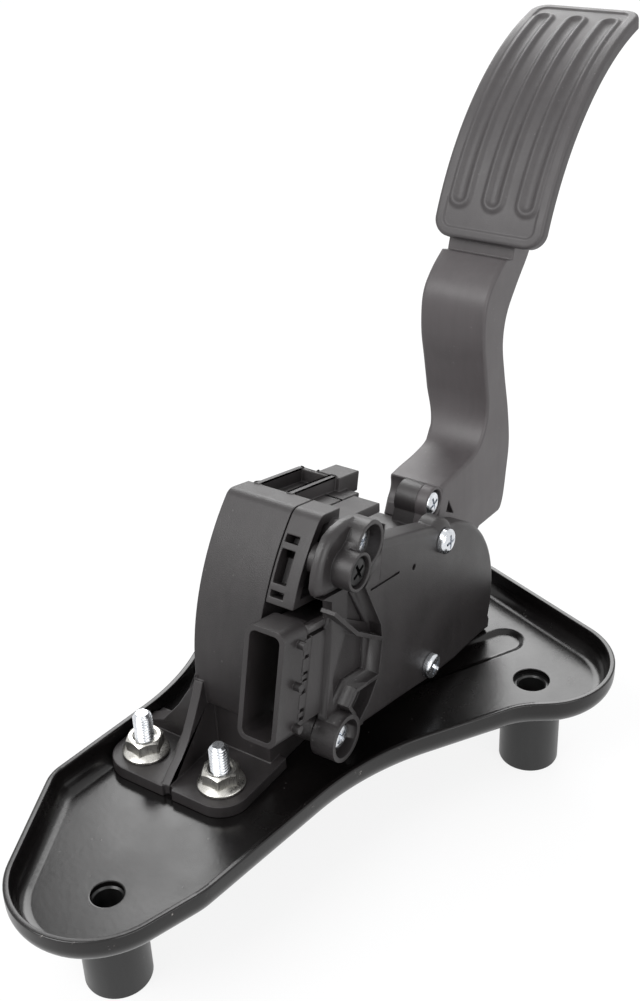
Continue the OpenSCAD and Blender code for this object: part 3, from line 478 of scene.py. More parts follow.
def metal(name, color, dark, rough):
    """Plated steel with fine machining marks and dull patches."""
    material, tree, shader, where = begin_material(name, metallic=1.0)
    skin = use_group(tree, "grain", where, Grain_Size=0.0003, Cloud_Size=0.004)
    marks = use_group(tree, "streak", where, Stretch=(2500.0, 2500.0, 300.0))
    base = mix_colors(tree, add_range(tree, skin.outputs["Cloud"], 0.35, 0.7), color, dark)
    tree.links.new(base, shader.inputs["Base Color"])
    gloss = add_range(tree, marks.outputs["Mark"], 0.3, 0.7, rough - 0.08, rough + 0.1)
    tree.links.new(gloss, shader.inputs["Roughness"])
    bump(tree, shader, marks.outputs["Mark"], 0.00002)
    return material


def painted_plate():
    """Black electro-coat on pressed sheet: gloss with slight waves, smears, and chips on the rim."""
    material, tree, shader, where = begin_material("plate_paint", level=0.42)
    skin = use_group(tree, "grain", where, Grain_Size=0.0016, Cloud_Size=0.05)
    dirt = use_group(tree, "dust", where, Amount=0.6)
    smear = dirt.outputs["Smear"]
    rim = tree.nodes.new("ShaderNodeAttribute")
    rim.attribute_name = "rim"
    flakes = add_range(tree, add_noise(tree, where, 260.0, 6.0, 0.75), 0.66, 0.69)
    chip = add_math(tree, "MULTIPLY", flakes, rim.outputs["Fac"], clamp=True)
    half_smear = add_math(tree, "MULTIPLY", smear, 0.5)
    base = mix_colors(tree, half_smear, (0.0035, 0.003, 0.003), (0.009, 0.008, 0.0078))
    specks = add_math(tree, "MULTIPLY", dirt.outputs["Speck"], 0.25)
    dusty = mix_colors(tree, specks, base, (0.25, 0.24, 0.23))
    tree.links.new(mix_colors(tree, chip, dusty, (0.30, 0.28, 0.26)), shader.inputs["Base Color"])
    waves = add_range(tree, skin.outputs["Cloud"], 0.3, 0.7, 0.16, 0.26)
    gloss = add_math(tree, "MULTIPLY_ADD", smear, 0.1, waves)
    tree.links.new(add_math(tree, "MULTIPLY_ADD", chip, 0.3, gloss), shader.inputs["Roughness"])
    bump(tree, shader, skin.outputs["Height"], 0.00001)
    return material


def lighter(color, times):
    """A colour made lighter, or darker where times is under 1."""
    return tuple(x * times for x in color)


def make_materials(looks):
    """All finishes, named for the material slots that the pieces use."""
    black, grey = tuple(looks.plastic_color), tuple(looks.arm_color)
    MATERIALS.update(
        plate_paint=painted_plate(),
        leg_paint=plastic("leg_paint", (0.006,) * 3, (0.010,) * 3, 0.34, 0.0006, 0.00001),
        zinc_steel=metal("zinc_steel", (0.80, 0.82, 0.85), (0.55, 0.57, 0.60), 0.22),
        nut_steel=metal("nut_steel", (0.62, 0.61, 0.58), (0.42, 0.41, 0.38), 0.30),
        housing_plastic=plastic("housing_plastic", black, lighter(black, 1.6), 0.47, soft=0.0003),
        cover_plastic=plastic("cover_plastic", lighter(black, 0.9), lighter(black, 1.4), 0.42, soft=0.0003),
        arm_plastic=plastic("arm_plastic", grey, lighter(grey, 1.25), 0.46, 0.0003, 0.00002, soft=0.0008),
        lever_plastic=plastic("lever_plastic", lighter(black, 1.2), lighter(black, 1.8), 0.45, soft=0.0006),
        bush_bronze=metal("bush_bronze", (0.45, 0.30, 0.13), (0.30, 0.20, 0.09), 0.35),
        rubber_black=plastic("rubber_black", (0.010,) * 3, (0.016,) * 3, 0.75),
        contact_metal=metal("contact_metal", (0.70, 0.66, 0.52), (0.50, 0.46, 0.34), 0.28),
        board_green=plastic("board_green", (0.005, 0.06, 0.02), (0.008, 0.08, 0.03), 0.35),
        chip_black=plastic("chip_black", (0.01, 0.01, 0.01), (0.02, 0.02, 0.02), 0.5),
        target_metal=metal("target_metal", (0.60, 0.45, 0.22), (0.45, 0.33, 0.15), 0.3),
        black_screw=metal("black_screw", (0.03, 0.03, 0.03), (0.05, 0.05, 0.05), 0.38),
        shaft_steel=metal("shaft_steel", (0.55, 0.56, 0.57), (0.42, 0.43, 0.44), 0.25),
        pad_rubber=plastic(
            "pad_rubber", (0.037, 0.0335, 0.0345), (0.046, 0.0420, 0.0430), 0.5, 0.0003, 0.00003
        ),
        shoe_plastic=plastic("shoe_plastic", (0.03, 0.025, 0.02), (0.05, 0.04, 0.03), 0.5),
        spring_steel=metal("spring_steel", (0.40, 0.40, 0.41), (0.30, 0.30, 0.31), 0.35),
    )


# The base plate

# Arcs of the outline: centre, radius, and 1 where it bulges outwards or -1 where it cuts in
ARCS = [
    (0.0, 2.0, 25.0, 1),
    (14.0, -3.4, 24.3, 1),
    (43.57, -122.16, 89.96, -1),
    (103.7, -78.2, 20.5, -1),
    (143.3, -56.5, 24.4, 1),
    (158.8, -12.0, 25.8, 1),
    (150.0, 38.0, 24.0, 1),
    (66.0, 111.0, 75.0, -1),
    (24.0, 26.8, 12.6, 1),
]
ARC_POINTS = 30
STRAIGHT_POINTS = 8
# The pressed bead: its middle line, and steps of its half width and depth on the upper side
BEAD = ((104.0, -11.0), (156.0, -39.0))
BEAD_STEPS = [(7.0, 0.0), (6.3, -0.12), (5.6, -0.5), (5.0, -0.95), (4.4, -1.15), (3.6, -1.2)]
BEAD_WIDER_BELOW = 0.8
# Softened edge of a hole: how much wider and how deep at each step
HOLE_EDGE = [(0.55, 0.0), (0.2, 0.1), (0.0, 0.4)]
LEG_R, LEG_BORE = 9.5, 4.2


def plate_outline(inset):
    """The plate's outline, moved inwards; always the same number of points."""

    def radius(arc):
        return arc[2] - arc[3] * inset

    def touch(a, b, side):
        dx, dy = b[0] - a[0], b[1] - a[1]
        d = math.hypot(dx, dy)
        k = math.acos((radius(a) - a[3] * b[3] * radius(b)) / d)
        return math.atan2(dy, dx) + side * k

    loop = []
    for i, arc in enumerate(ARCS):
        before, after = ARCS[i - 1], ARCS[(i + 1) % len(ARCS)]
        start = touch(arc, before, arc[3])
        end = touch(arc, after, -arc[3])
        turn = 2 * math.pi
        sweep = (end - start) % turn if arc[3] > 0 else -((start - end) % turn)
        steps = [start + sweep * k / ARC_POINTS for k in range(ARC_POINTS + 1)]
        loop += [round_point(arc, radius(arc), step) for step in steps]
        last = loop[-1]
        first = round_point(after, radius(after), touch(after, arc, after[3]))
        for k in range(1, STRAIGHT_POINTS):
            share = k / STRAIGHT_POINTS
            loop.append((last[0] + (first[0] - last[0]) * share, last[1] + (first[1] - last[1]) * share))
    return loop


def stadium(a, b, r, count=20):
    """A long slot's outline round the line from a to b."""
    turn = math.degrees(math.atan2(b[1] - a[1], b[0] - a[0]))
    return arc_points(b, r, turn - 90, turn + 90, count) + arc_points(a, r, turn + 90, turn + 270, count)


def make_plate(sizes):
    """The pressed plate with its rolled rim, bead and holes."""
    bend = sizes.plate_bend / MM
    lip = 0.55
    inner = bend - SHEET_T
    walls = [(bend * s, FLOOR_Z + bend * c) for s, c in quarter(12)]
    walls += [(lip * c, RIM_Z - lip * s) for s, c in quarter(4)[1:]]
    walls += [(SHEET_T - lip * s, RIM_Z - lip * c) for s, c in quarter(4)[1:]]
    walls += [(SHEET_T + inner * s, PLATE_Z + inner * c) for s, c in reversed(quarter(12))]
    shape = Shape()
    loops = [[(x, y, z) for x, y in plate_outline(inset)] for inset, z in walls]
    shape.loops(loops, caps=False)
    top, low = [loops[-1]], [loops[0]]
    for (x, y), r in zip(LEGS, HOLE_RADII):
        hole = [(r + wider, PLATE_Z - deep) for wider, deep in HOLE_EDGE]
        hole += [(r + wider, FLOOR_Z + deep) for wider, deep in reversed(HOLE_EDGE)]
        rings = [ring(x, y, z, wide, 40) for wide, z in hole]
        shape.loops(rings, caps=False)
        top.append(rings[0])
        low.append(rings[-1])
    for faces, level, wider in ((top, PLATE_Z, 0.0), (low, FLOOR_Z, BEAD_WIDER_BELOW)):
        rings = [[(x, y, level + dz) for x, y in stadium(*BEAD, r + wider)] for r, dz in BEAD_STEPS]
        shape.loops(rings, caps=False)
        faces.append(rings[0])
        fill_flat(shape, [rings[-1]], level + BEAD_STEPS[-1][1], faces is top)
    fill_flat(shape, top, PLATE_Z, True)
    fill_flat(shape, low, FLOOR_Z, False)
    mesh = mesh_of(shape, "base_plate_pressed")
    plate = own("base_plate_pressed", mesh, "base", "plate_paint", ("base_plate",), sharp=40)
    rim = plate.data.attributes.new("rim", "FLOAT", "POINT")
    heights = [v.co.z / MM - (RIM_Z - 0.9) for v in plate.data.vertices]
    rim.data.foreach_set("value", [max(0.0, min(1.0, height / 0.5)) for height in heights])


def make_legs():
    """Three turned spacer tubes."""
    end = [(LEG_BORE, 0.5), (LEG_BORE + 0.5, 0.0), (LEG_R - 0.6, 0.0), (LEG_R - 0.17, 0.17), (LEG_R, 0.6)]
    profile = end + [(r, FLOOR_Z - z) for r, z in reversed(end)]
    shape = Shape()
    for x, y in LEGS:
        shape.loops([ring(x, y, z, r, 64) for r, z in profile], closed=True)
    mesh = mesh_of(shape, "spacer_legs")
    own("spacer_legs", mesh, "base", "leg_paint", ("leg_front", "leg_right", "leg_rear"))


# Repeated fixings, set out by geometry nodes

def repeat_tree():
    """A tree that puts a master object on each point, turned by the point's own angles."""
    tree = bpy.data.node_groups.new("set_on_points", "GeometryNodeTree")
    face = tree.interface
    face.new_socket("Geometry", in_out="INPUT", socket_type="NodeSocketGeometry")
    face.new_socket("Master", in_out="INPUT", socket_type="NodeSocketObject")
    face.new_socket("Size", in_out="INPUT", socket_type="NodeSocketFloat").default_value = 1.0
    face.new_socket("Material", in_out="INPUT", socket_type="NodeSocketMaterial")
    face.new_socket("Geometry", in_out="OUTPUT", socket_type="NodeSocketGeometry")
    ins, outs = tree.nodes.new("NodeGroupInput"), tree.nodes.new("NodeGroupOutput")
    info = tree.nodes.new("GeometryNodeObjectInfo")
    turn = tree.nodes.new("GeometryNodeInputNamedAttribute")
    turn.data_type = "FLOAT_VECTOR"
    turn.inputs["Name"].default_value = "turn"
    to_rotation = tree.nodes.new("FunctionNodeEulerToRotation")
    place = tree.nodes.new("GeometryNodeInstanceOnPoints")
    real = tree.nodes.new("GeometryNodeRealizeInstances")
    finish = tree.nodes.new("GeometryNodeSetMaterial")
    link = tree.links.new
    link(ins.outputs["Geometry"], place.inputs["Points"])
    link(ins.outputs["Master"], info.inputs["Object"])
    link(info.outputs["Geometry"], place.inputs["Instance"])
    link(turn.outputs["Attribute"], to_rotation.inputs["Euler"])
    link(to_rotation.outputs["Rotation"], place.inputs["Rotation"])
    link(ins.outputs["Size"], place.inputs["Scale"])
    link(place.outputs["Instances"], real.inputs["Geometry"])
    link(real.outputs["Geometry"], finish.inputs["Geometry"])
    link(ins.outputs["Material"], finish.inputs["Material"])
    link(finish.outputs["Geometry"], outs.inputs["Geometry"])
    return tree


def repeated(name, master, points, body, slot_name, replaces, sharp=32.0):
    """Sets a master on each point (place in mm, turn in radians) and bakes the result to one piece."""
    tree = bpy.data.node_groups.get("set_on_points") or repeat_tree()
    source = linked(name + "_master", master)
    mesh = bpy.data.meshes.new(name + "_points")
    mesh.from_pydata([Vector(p) * MM for p, _ in points], [], [])
    turn = mesh.attributes.new("turn", "FLOAT_VECTOR", "POINT")
    turn.data.foreach_set("vector", [a for _, t in points for a in t])
    holder = linked(name + "_holder", mesh)
    modifier = holder.modifiers.new("set_on_points", "NODES")
    modifier.node_group = tree
    inputs = [i for i in tree.interface.items_tree if i.item_type == "SOCKET" and i.in_out == "INPUT"]
    ids = {i.name: i.identifier for i in inputs}
    modifier[ids["Master"]] = source
    modifier[ids["Size"]] = 1.0
    modifier[ids["Material"]] = MATERIALS[slot_name]
    made = baked(holder)
    bpy.data.objects.remove(source)
    return own(name, made, body, slot_name, replaces, sharp)


def combined(first, second, operation):
    """Exact union, difference or intersection of two meshes."""
    a, b = linked("solid_a", first), linked("solid_b", second)
    cut = a.modifiers.new("join", "BOOLEAN")
    cut.operation = operation
    cut.solver = "EXACT"
    cut.object = b
    made = baked(a)
    bpy.data.objects.remove(b)
    return made


def joined(mesh, *others):
    """A mesh united with all the others."""
    for other in others:
        mesh = combined(mesh, other, "UNION")
    return mesh


def cut_from(mesh, *others):
    """A mesh with all the others cut out of it."""
    for other in others:
        mesh = combined(mesh, other, "DIFFERENCE")
    return mesh


def welded_copy(node_name):
    """A frame node's mesh with the points that lie on each other joined."""
    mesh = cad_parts[node_name].data.copy()
    return edited(mesh, lambda work: bmesh.ops.remove_doubles(work, verts=work.verts, dist=SAME_POINT))


def faces_joined(mesh):
    """Joins the triangles of each flat face, which smooth shading needs."""

    def join(work):
        bmesh.ops.remove_doubles(work, verts=work.verts, dist=SAME_POINT)
        bmesh.ops.dissolve_degenerate(work, dist=SAME_POINT, edges=work.edges)
        bmesh.ops.dissolve_limit(
            work,
            angle_limit=math.radians(0.4),
            use_dissolve_boundaries=False,
            verts=work.verts,
            edges=work.edges,
            delimit={"NORMAL"},
        )

    return edited(mesh, join)


def screw_master(head_r, head_h, recess, depth, shank_r, length):
    """A pan head screw along Z with its driving recess: the head's top is at 0, the shank runs down."""
    dome = [(0.35, 0.0), (0.62, -0.06), (0.82, -0.25), (0.94, -0.62), (1.0, -1.15)]
    profile = [(head_r * share, z) for share, z in dome]
    profile += [(head_r, -head_h + 0.15), (head_r - 0.15, -head_h)]
    profile += [(shank_r, -head_h), (shank_r, -length + 0.6), (shank_r - 0.5, -length)]
    arm, half = recess, recess * 0.20
    quarter_cross = [(half, half), (half, arm), (-half, arm)]
    cross = []
    for cos, sin in ((1, 0), (0, 1), (-1, 0), (0, -1)):
        cross += [(x * cos - y * sin, x * sin + y * cos) for x, y in quarter_cross]
    cutter = Shape()
    levels = ((0.6, 1.1), (-depth * 0.5, 0.92), (-depth, 0.55))
    cutter.loops([[(x * k, y * k, z) for x, y in cross] for z, k in levels])
    return cut_from(turned(profile), mesh_of(cutter, "recess"))


def nut_master():
    """An M6 flange nut standing on z 0: chamfered hexagon, conical flange and bore."""
    flats, height, bore = 10.0, 6.0, 3.02
    corner = flats / 2 / math.cos(math.radians(30))
    hexagon = turned([(corner, 0.3), (corner, height + 1)], 6)
    cone = turned([(corner + 0.4, 0.2), (corner + 0.4, height - 1.1), (flats / 2 - 0.3, height)], 64)
    flange = [(6.5, 0.0), (6.95, 0.15), (7.1, 0.5), (7.05, 0.95), (6.8, 1.25), (5.9, 1.75), (5.0, 2.2)]
    whole = joined(combined(hexagon, cone, "INTERSECT"), turned(flange, 64))
    mouth = bore + 0.75
    hole = [(bore, -1), (bore, height - 0.7), (mouth, height + 0.05), (mouth, height + 1)]
    return cut_from(whole, turned(hole))


def thread_master(radius, depth, pitch, length):
    """A threaded stud standing on z 0, with its thread cut into the surface."""
    around, per_turn = 32, 10
    plain_end, fading, tip, tip_slope = 0.7, 0.5, 0.8, 0.9
    levels = int(length / pitch * per_turn)
    shape = Shape()
    loops = []
    for k in range(levels + 1):
        z = length * k / levels
        fade = min(1.0, max(0.0, (length - plain_end - z) / fading))
        chamfer = max(0.0, z - (length - tip)) * tip_slope
        loop = []
        for i in range(around):
            phase = (z / pitch - i / around) % 1.0
            cut = max(0.0, min(1.0, 2.4 * abs(phase - 0.5) - 0.1))
            r = radius - depth * (cut * fade + (1 - fade)) - chamfer
            a = 2 * math.pi * i / around
            loop.append((r * math.cos(a), r * math.sin(a), z))
        loops.append(loop)
    shape.loops(loops)
    return mesh_of(shape, "threaded_stud")


def make_foot_fixings():
    """Both studs and their flange nuts."""
    stand = [((x, y, PLATE_Z), (0.0, 0.0, 0.3 + i)) for i, (x, y) in enumerate(STUDS)]
    stud = thread_master(radius=2.95, depth=0.5, pitch=1.0, length=18.3)
    repeated("threaded_studs", stud, stand, "base", "zinc_steel", ("studs",), sharp=50)
    seat = [((x, y, FOOT_Z), (0.0, 0.0, math.radians(22 + 7 * i))) for i, (x, y) in enumerate(STUDS)]
    repeated("flange_nuts_m6", nut_master(), seat, "base", "nut_steel", ("flange_nuts",))


def towards_cover(turn, lean):
    """Angles that lay a screw made along +Z down so that its head looks along -Y."""
    down = Matrix.Rotation(math.radians(90), 3, "X")
    rotation = Matrix.Rotation(lean, 3, "Y") @ down @ Matrix.Rotation(turn, 3, "Z")
    return tuple(rotation.to_euler("XYZ"))


def make_screws(sizes):
    """The four cover screws, the hub screw and the black screw in its tube."""
    head, recess, depth = sizes.screw_head / MM / 2, 2.3, 1.9
    points = [
        (leaned(u, COVER_Y + deep - HEAD_H, v), towards_cover(turn, LEAN))
        for (u, v, deep), turn in zip(COVER_SCREWS, (0.5, 0.2, 1.0, 0.7))
    ]
    master = screw_master(head, HEAD_H, recess, depth, shank_r=1.85, length=9.0)
    repeated("cover_screws_pan", master, points, "base", "zinc_steel", ("cover_screws",))
    hub = screw_master(head, HEAD_H, recess, depth, shank_r=2.15, length=9.9)
    at = [((HUB_SCREW[0], ARM_Y, HUB_SCREW[1]), towards_cover(0.3, 0.0))]
    repeated("hub_screw_pan", hub, at, "pedal", "zinc_steel", ("hub_screw",))
    sunk = screw_master(head_r=4.5, head_h=2.2, recess=2.6, depth=1.7, shank_r=1.85, length=14.0)
    at = [(leaned(SUNK_SCREW[0], COVER_Y - 1.4, SUNK_SCREW[1]), towards_cover(0.6, LEAN))]
    repeated("sunk_screw_black", sunk, at, "base", "black_screw", ("sunk_screw",))


# Pedal arm and pad

# Centre and radius of the tread's curve, its thickness, its middle in Y, and its ends in degrees
PAD_C = (272.0, 122.0)
PAD_R = 91.0
PAD_T = 3.6
PAD_MID_Y = -12.2
PAD_LOW, PAD_HIGH = 159.5, 98.3
PAD_BACK_R = PAD_R - PAD_T
PAD_ROWS, PAD_COLS = 250, 116
# Raised margin of the pad: height, width and slope
MARGIN_H, MARGIN_W, MARGIN_SLOPE = 0.45, 2.9, 0.8
# Ribs: pitch, gap to either end of the pad, and the place and half width of each rib's two ridges
RIB_PITCH, RIB_LOW_GAP, RIB_HIGH_GAP, RIDGE_AT, RIDGE_HALF = 11.6, 13.3, 11.5, 2.75, 1.75
# Groove along the middle of each rib
GROOVE_DEPTH, GROOVE_HALF = 0.25, 1.6


def smooth(x):
    """An S-curve from 0 to 1."""
    x = max(0.0, min(1.0, x))
    return x * x * (3 - 2 * x)


def make_pad(sizes):
    """The moulded foot pad: raised margin, three long ribs with a groove in each, and rounded edges."""
    half, corner, edge = sizes.pad_width / MM / 2, 6.0, 1.3
    length = math.radians(PAD_LOW - PAD_HIGH) * PAD_R
    rib_h = sizes.rib_height / MM
    low, high = RIB_LOW_GAP, length - RIB_HIGH_GAP

    def spread(i, n):
        """Even steps that crowd together at both ends."""
        t = i / n
        return t - 0.06 / math.pi * math.sin(4 * math.pi * t)

    def height(s, y):
        """Height over the plain tread at a length along it and a distance from its middle."""
        ends = min(s, length - s)
        sides = half - abs(y)
        if ends < corner and sides < corner:
            border = corner - math.hypot(corner - ends, corner - sides)
        else:
            border = min(ends, sides)
        h = MARGIN_H * (1 - smooth((border - MARGIN_W) / MARGIN_SLOPE))
        if border < edge:
            h -= edge - math.sqrt(max(0.0, edge**2 - (edge - border) ** 2))
        along = min(max(s, low), high)
        for k in (-1, 0, 1):
            d = math.hypot(s - along, y - k * RIB_PITCH)
            ridge = smooth(1 - abs(d - RIDGE_AT) / RIDGE_HALF)
            h += rib_h * ridge - GROOVE_DEPTH * smooth(1 - d / GROOVE_HALF)
        return h

    points = []
    for raised in (True, False):
        for i in range(PAD_ROWS + 1):
            s = length * spread(i, PAD_ROWS)
            near_end = corner - min(s, length - s, corner)
            width = half - corner + math.sqrt(max(0.0, corner**2 - near_end**2))
            for j in range(PAD_COLS + 1):
                y = width * (2 * spread(j, PAD_COLS) - 1)
                r = PAD_R + height(s, y) if raised else PAD_BACK_R
                x, z = round_point(PAD_C, r, math.radians(PAD_LOW) - s / PAD_R)
                points.append((x, PAD_MID_Y + y, z))
    n = PAD_COLS + 1
    corners = [i * n + j for i in range(PAD_ROWS) for j in range(PAD_COLS)]
    quads = [(k, k + 1, k + n + 1, k + n) for k in corners]
    border = list(range(PAD_COLS)) + [i * n + PAD_COLS for i in range(PAD_ROWS)]
    border += [PAD_ROWS * n + j for j in range(PAD_COLS, 0, -1)] + [i * n for i in range(PAD_ROWS, 0, -1)]
    back = len(points) // 2
    skirt = [(a, b, b + back, a + back) for a, b in zip(border, border[1:] + border[:1])]
    shape = Shape()
    shape.add(points, quads + [tuple(back + k for k in reversed(f)) for f in quads] + skirt)
    own("foot_pad_ribbed", mesh_of(shape, "foot_pad", 0.001), "pedal", "pad_rubber", ("pad",), sharp=50)


# Outline of the arm in X and Z; the first and last points of a smooth line only steer it
ARM_FRONT = [
    (138, 88.7), (144.5, 88.9), (150, 89.3), (160, 89.6), (168, 91.2), (173, 96.5), (174.6, 104),
    (172.8, 116), (170.8, 128), (171.9, 139.5), (177.6, 146.4), (188, 152.6), (198, 158),
]
ARM_REAR = [
    (190.8, 153.2), (195.8, 162.5), (206, 158), (202, 148.3), (193.6, 139.4), (187.2, 131.5),
    (185.1, 122.5), (187, 111), (190.3, 97), (192, 84), (190.6, 73.4), (188.2, 62.8), (184, 59.4),
    (172, 60.6),
]
ARM_SOLE = [(171, 60.6), (151, 47.5), (138, 42.6), (131, 58), (143.5, 84)]
# Near face of the arm, back of its cheek, and its far face, in Y
ARM_Y, CHEEK_Y, ARM_HIGH = -21.0, -17.2, 2.0
HUB_R, BOSS_R, WEB_HALF, SHAFT_R = 20.0, 5.5, 4.0, 5.0
# The carrier under the pad: its ends in degrees, thickness and half width
CARRIER_ENDS, CARRIER_T, CARRIER_HALF = (112, 158), 6, 12
# Seat of the hub screw's head, its hole, and the small notch beside it
SEAT_R, SEAT_DEPTH, SEAT_EDGE, SCREW_HOLE_R = 4.5, 2.6, 0.35, 2.2
NOTCH = [(148.9, 82.2), (147.2, 78.8), (152.2, 75.8)]


def lever_outline(gap):
    """Hub, screw boss and the web between them, grown by a gap."""
    dx, dz = HUB_SCREW[0] - PIVOT[0], HUB_SCREW[1] - PIVOT[1]
    turn = math.degrees(math.atan2(dz, dx))
    leave = math.degrees(math.asin((WEB_HALF + gap) / (HUB_R + gap)))
    meet = 180 - math.degrees(math.asin((WEB_HALF + gap) / (BOSS_R + gap)))
    hub = arc_points(PIVOT, HUB_R + gap, turn + leave, turn + 360 - leave, 72)
    return hub + arc_points(HUB_SCREW, BOSS_R + gap, turn - meet, turn + meet, 32)


def make_arm(sizes):
    """The moulded arm: shank, cheek with the screw seat and carrier under the pad."""
    fillet = sizes.arm_edge / MM
    outline = spline(ARM_FRONT, 8) + spline(ARM_REAR, 8) + ARM_SOLE

    def far_side(p):
        """The shank is a little narrower at its foot."""
        return ARM_HIGH - 4.0 * smooth((107 - p[1]) / 18)

    under_pad = PAD_BACK_R - 0.15
    top, foot = CARRIER_ENDS
    carrier = arc_points(PAD_C, under_pad, top, foot, 30)
    carrier += arc_points(PAD_C, PAD_BACK_R - CARRIER_T, foot, top, 30)
    tread = arc_points(PAD_C, PAD_R + 8, 162, 96, 60) + arc_points(PAD_C, under_pad, 96, 162, 120)
    floor_y = ARM_Y + SEAT_DEPTH
    seat = [(SEAT_R + SEAT_EDGE, ARM_Y - 1), (SEAT_R + SEAT_EDGE, ARM_Y), (SEAT_R, ARM_Y + SEAT_EDGE)]
    seat += [(SEAT_R, floor_y), (SCREW_HOLE_R, floor_y), (SCREW_HOLE_R, CHEEK_Y + 1)]
    arm = bar(outline, ARM_Y, far_side, fillet, fillet)
    arm = cut_from(arm, bar(lever_outline(0.3), CHEEK_Y, ARM_HIGH + 3))
    arm = joined(
        arm,
        bar(lever_outline(0.0), ARM_Y, CHEEK_Y, 0.5, 0.0),
        bar(carrier, PAD_MID_Y - CARRIER_HALF, PAD_MID_Y + CARRIER_HALF, 0.8, 0.8),
    )
    arm = cut_from(
        arm,
        turned_y(HUB_SCREW, seat),
        turned_y(PIVOT, [(SHAFT_R, ARM_Y - 1), (SHAFT_R, CHEEK_Y + 1)]),
        bar(NOTCH, ARM_Y - 1, ARM_Y + 2),
        bar(tread, ARM_Y - 12, ARM_HIGH + 12),
    )
    own("pedal_arm_moulded", faces_joined(arm), "pedal", "arm_plastic", ("pedal_arm",), sharp=38)


# Housing, side lid and sensor cover, in u, y and v of the leaning frame

# The curved end wall's radius round the pivot, the roof's height over it, and their common rounding
WALL_R, ROOF_V, ROOF_ROUND = 69.3, 38.5, 4.0
# Outline of the cover's screwed plate: its round right side, lower and upper edge; and of the pod
COVER_RIGHT_C, COVER_RIGHT_R = (-0.5, -12.6), 36.92
COVER_LOW_EDGE = [
    (-46, -26.5), (-22, -26.42), (-3, -26.62), (13.4, -25.62), (22.2, -24.02), (30.5, -22.82),
    (37.8, -22.42), (37.52, -18.0),
]
COVER_TOP_EDGE = [(-16.3, 27.22), (-31.7, 29.32), (-46, 31.2)]
POD = [
    (-43.5, 26.5), (-42.6, 31.5), (-43.4, 34.8), (-47.0, 37.2), (-52.5, 39.0), (-57.5, 39.0),
    (-62.0, 38.0), (-65.6, 36.2), (-67.8, 33.2), (-69.2, 29.8), (-69.8, 26.0), (-69.8, 22.4),
    (-68.4, 20.0), (-64.6, 19.2), (-58.0, 19.4), (-52.0, 20.2), (-47.6, 23.0),
]
# What is cut away for the pod, and the saddle between its well and its tube
POD_ROOM = [(-90, 19.0), (-68, 19.0), (-51.5, 19.3), (-47.2, 23.4), (-44.4, 26.0), (-44.4, 60), (-90, 60)]
SADDLE = [
    (-47.5, 27.5), (-52.0, 25.0), (-56.0, 22.5), (-62.0, 24.0), (-61.8, 30.5), (-57.0, 34.5),
    (-53.0, 35.5), (-48.5, 33.0),
]
# Left part of the cover, which keeps its own edges
LEFT_PART = [(-120, -70), (-44, -70), (-44, 70), (-120, 70)]
# The round ear of the second cover screw: radius and y
EAR = [(4.3, -32.03), (5.3, -31.7), (6.1, -31.0), (6.55, -29.8), (6.68, -28.0), (6.68, -5.0)]
# Face of the pod, back of the cover's raised parts, and a depth in front of everything
POD_Y, COVER_BACK, NEARER = -28.0, -25.0, -40.0
# Deep screw well and tube of the sunk screw: outer and inner radius, radius of the bore, and floor
WELL = (7.1, 5.7, 5.6, -26.6)
TUBE = (5.7, 4.6, 4.5, -31.2)


def roof_corner():
    """What the rounding takes off between the curved end wall and the roof."""
    v = ROOF_V - ROOF_ROUND
    u = -math.sqrt((WALL_R - ROOF_ROUND) ** 2 - v**2)
    arc = arc_points((u, v), ROOF_ROUND, 90.0, math.degrees(math.atan2(v, u)), 12)
    return bar_leaned(arc + [(-66, 41), (-66, 46), (u, 46)], -30.0, 20.0)


def softened(node_name, width):
    """A moulded shell with the frame's own shape and its edges rounded by a small radius."""
    name = node_name + "_moulded"
    holder = linked(name + "_holder", faces_joined(cut_from(welded_copy(node_name), roof_corner())))
    rounding = holder.modifiers.new("rounding", "BEVEL")
    rounding.width = width * MM
    rounding.segments = 2
    rounding.limit_method = "ANGLE"
    rounding.angle_limit = math.radians(38)
    rounding.use_clamp_overlap = False
    rounding.loop_slide = True
    own(name, baked(holder), "base", "housing_plastic", (node_name,), sharp=30)


def sunk_ring(centre, outer, inner, face, floor):
    """A round wall that stands on the cover, with a rounded lip and a flat floor inside."""
    lip = 0.45
    shoulder, rise, half_top = 0.3 * lip, face + lip, 0.12
    mid = (outer + inner) / 2
    profile = [(outer, COVER_BACK - 0.2), (outer, rise), (outer - shoulder, face + shoulder)]
    profile += [(mid + half_top, face), (mid - half_top, face)]
    profile += [(inner + shoulder, face + shoulder), (inner, rise), (inner, floor)]
    return turned_y(centre, profile, 64, leaned)


def with_well(cover, centre, well, face):
    """The cover with a round wall added round a blind bore."""
    outer, inner, bore, floor = well
    cover = joined(cover, sunk_ring(centre, outer, inner, face, floor))
    return cut_from(cover, turned_y(centre, [(bore, NEARER), (bore, floor)], 64, leaned))


def make_cover():
    """The sensor cover: rounded rim, pod with the deep screw well, tube of the sunk screw."""
    rim = COVER_LOW_EDGE + arc_points(COVER_RIGHT_C, COVER_RIGHT_R, -6.0, 86.2, 60) + COVER_TOP_EDGE
    envelope = joined(
        bar_leaned(rim, COVER_Y - 0.03, -5.0, 2.4),
        turned_y(COVER_SCREWS[1], EAR, 64, leaned),
        bar_leaned(LEFT_PART, -60.0, 20.0),
    )
    cover = combined(welded_copy("sensor_cover"), envelope, "INTERSECT")
    cover = cut_from(cover, bar_leaned(POD_ROOM, NEARER, COVER_BACK + 0.6))
    pod = bar_leaned(POD, POD_Y, COVER_BACK, 2.0, 6)
    saddle = bar_leaned(SADDLE, POD_Y - 2.0, COVER_BACK, 1.4, 4)
    cover = with_well(joined(cover, pod, saddle), COVER_SCREWS[0], WELL, COVER_Y)
    cover = with_well(cover, SUNK_SCREW, TUBE, COVER_Y - 2)
    own("sensor_cover_moulded", faces_joined(cover), "base", "cover_plastic", ("sensor_cover",), sharp=30)


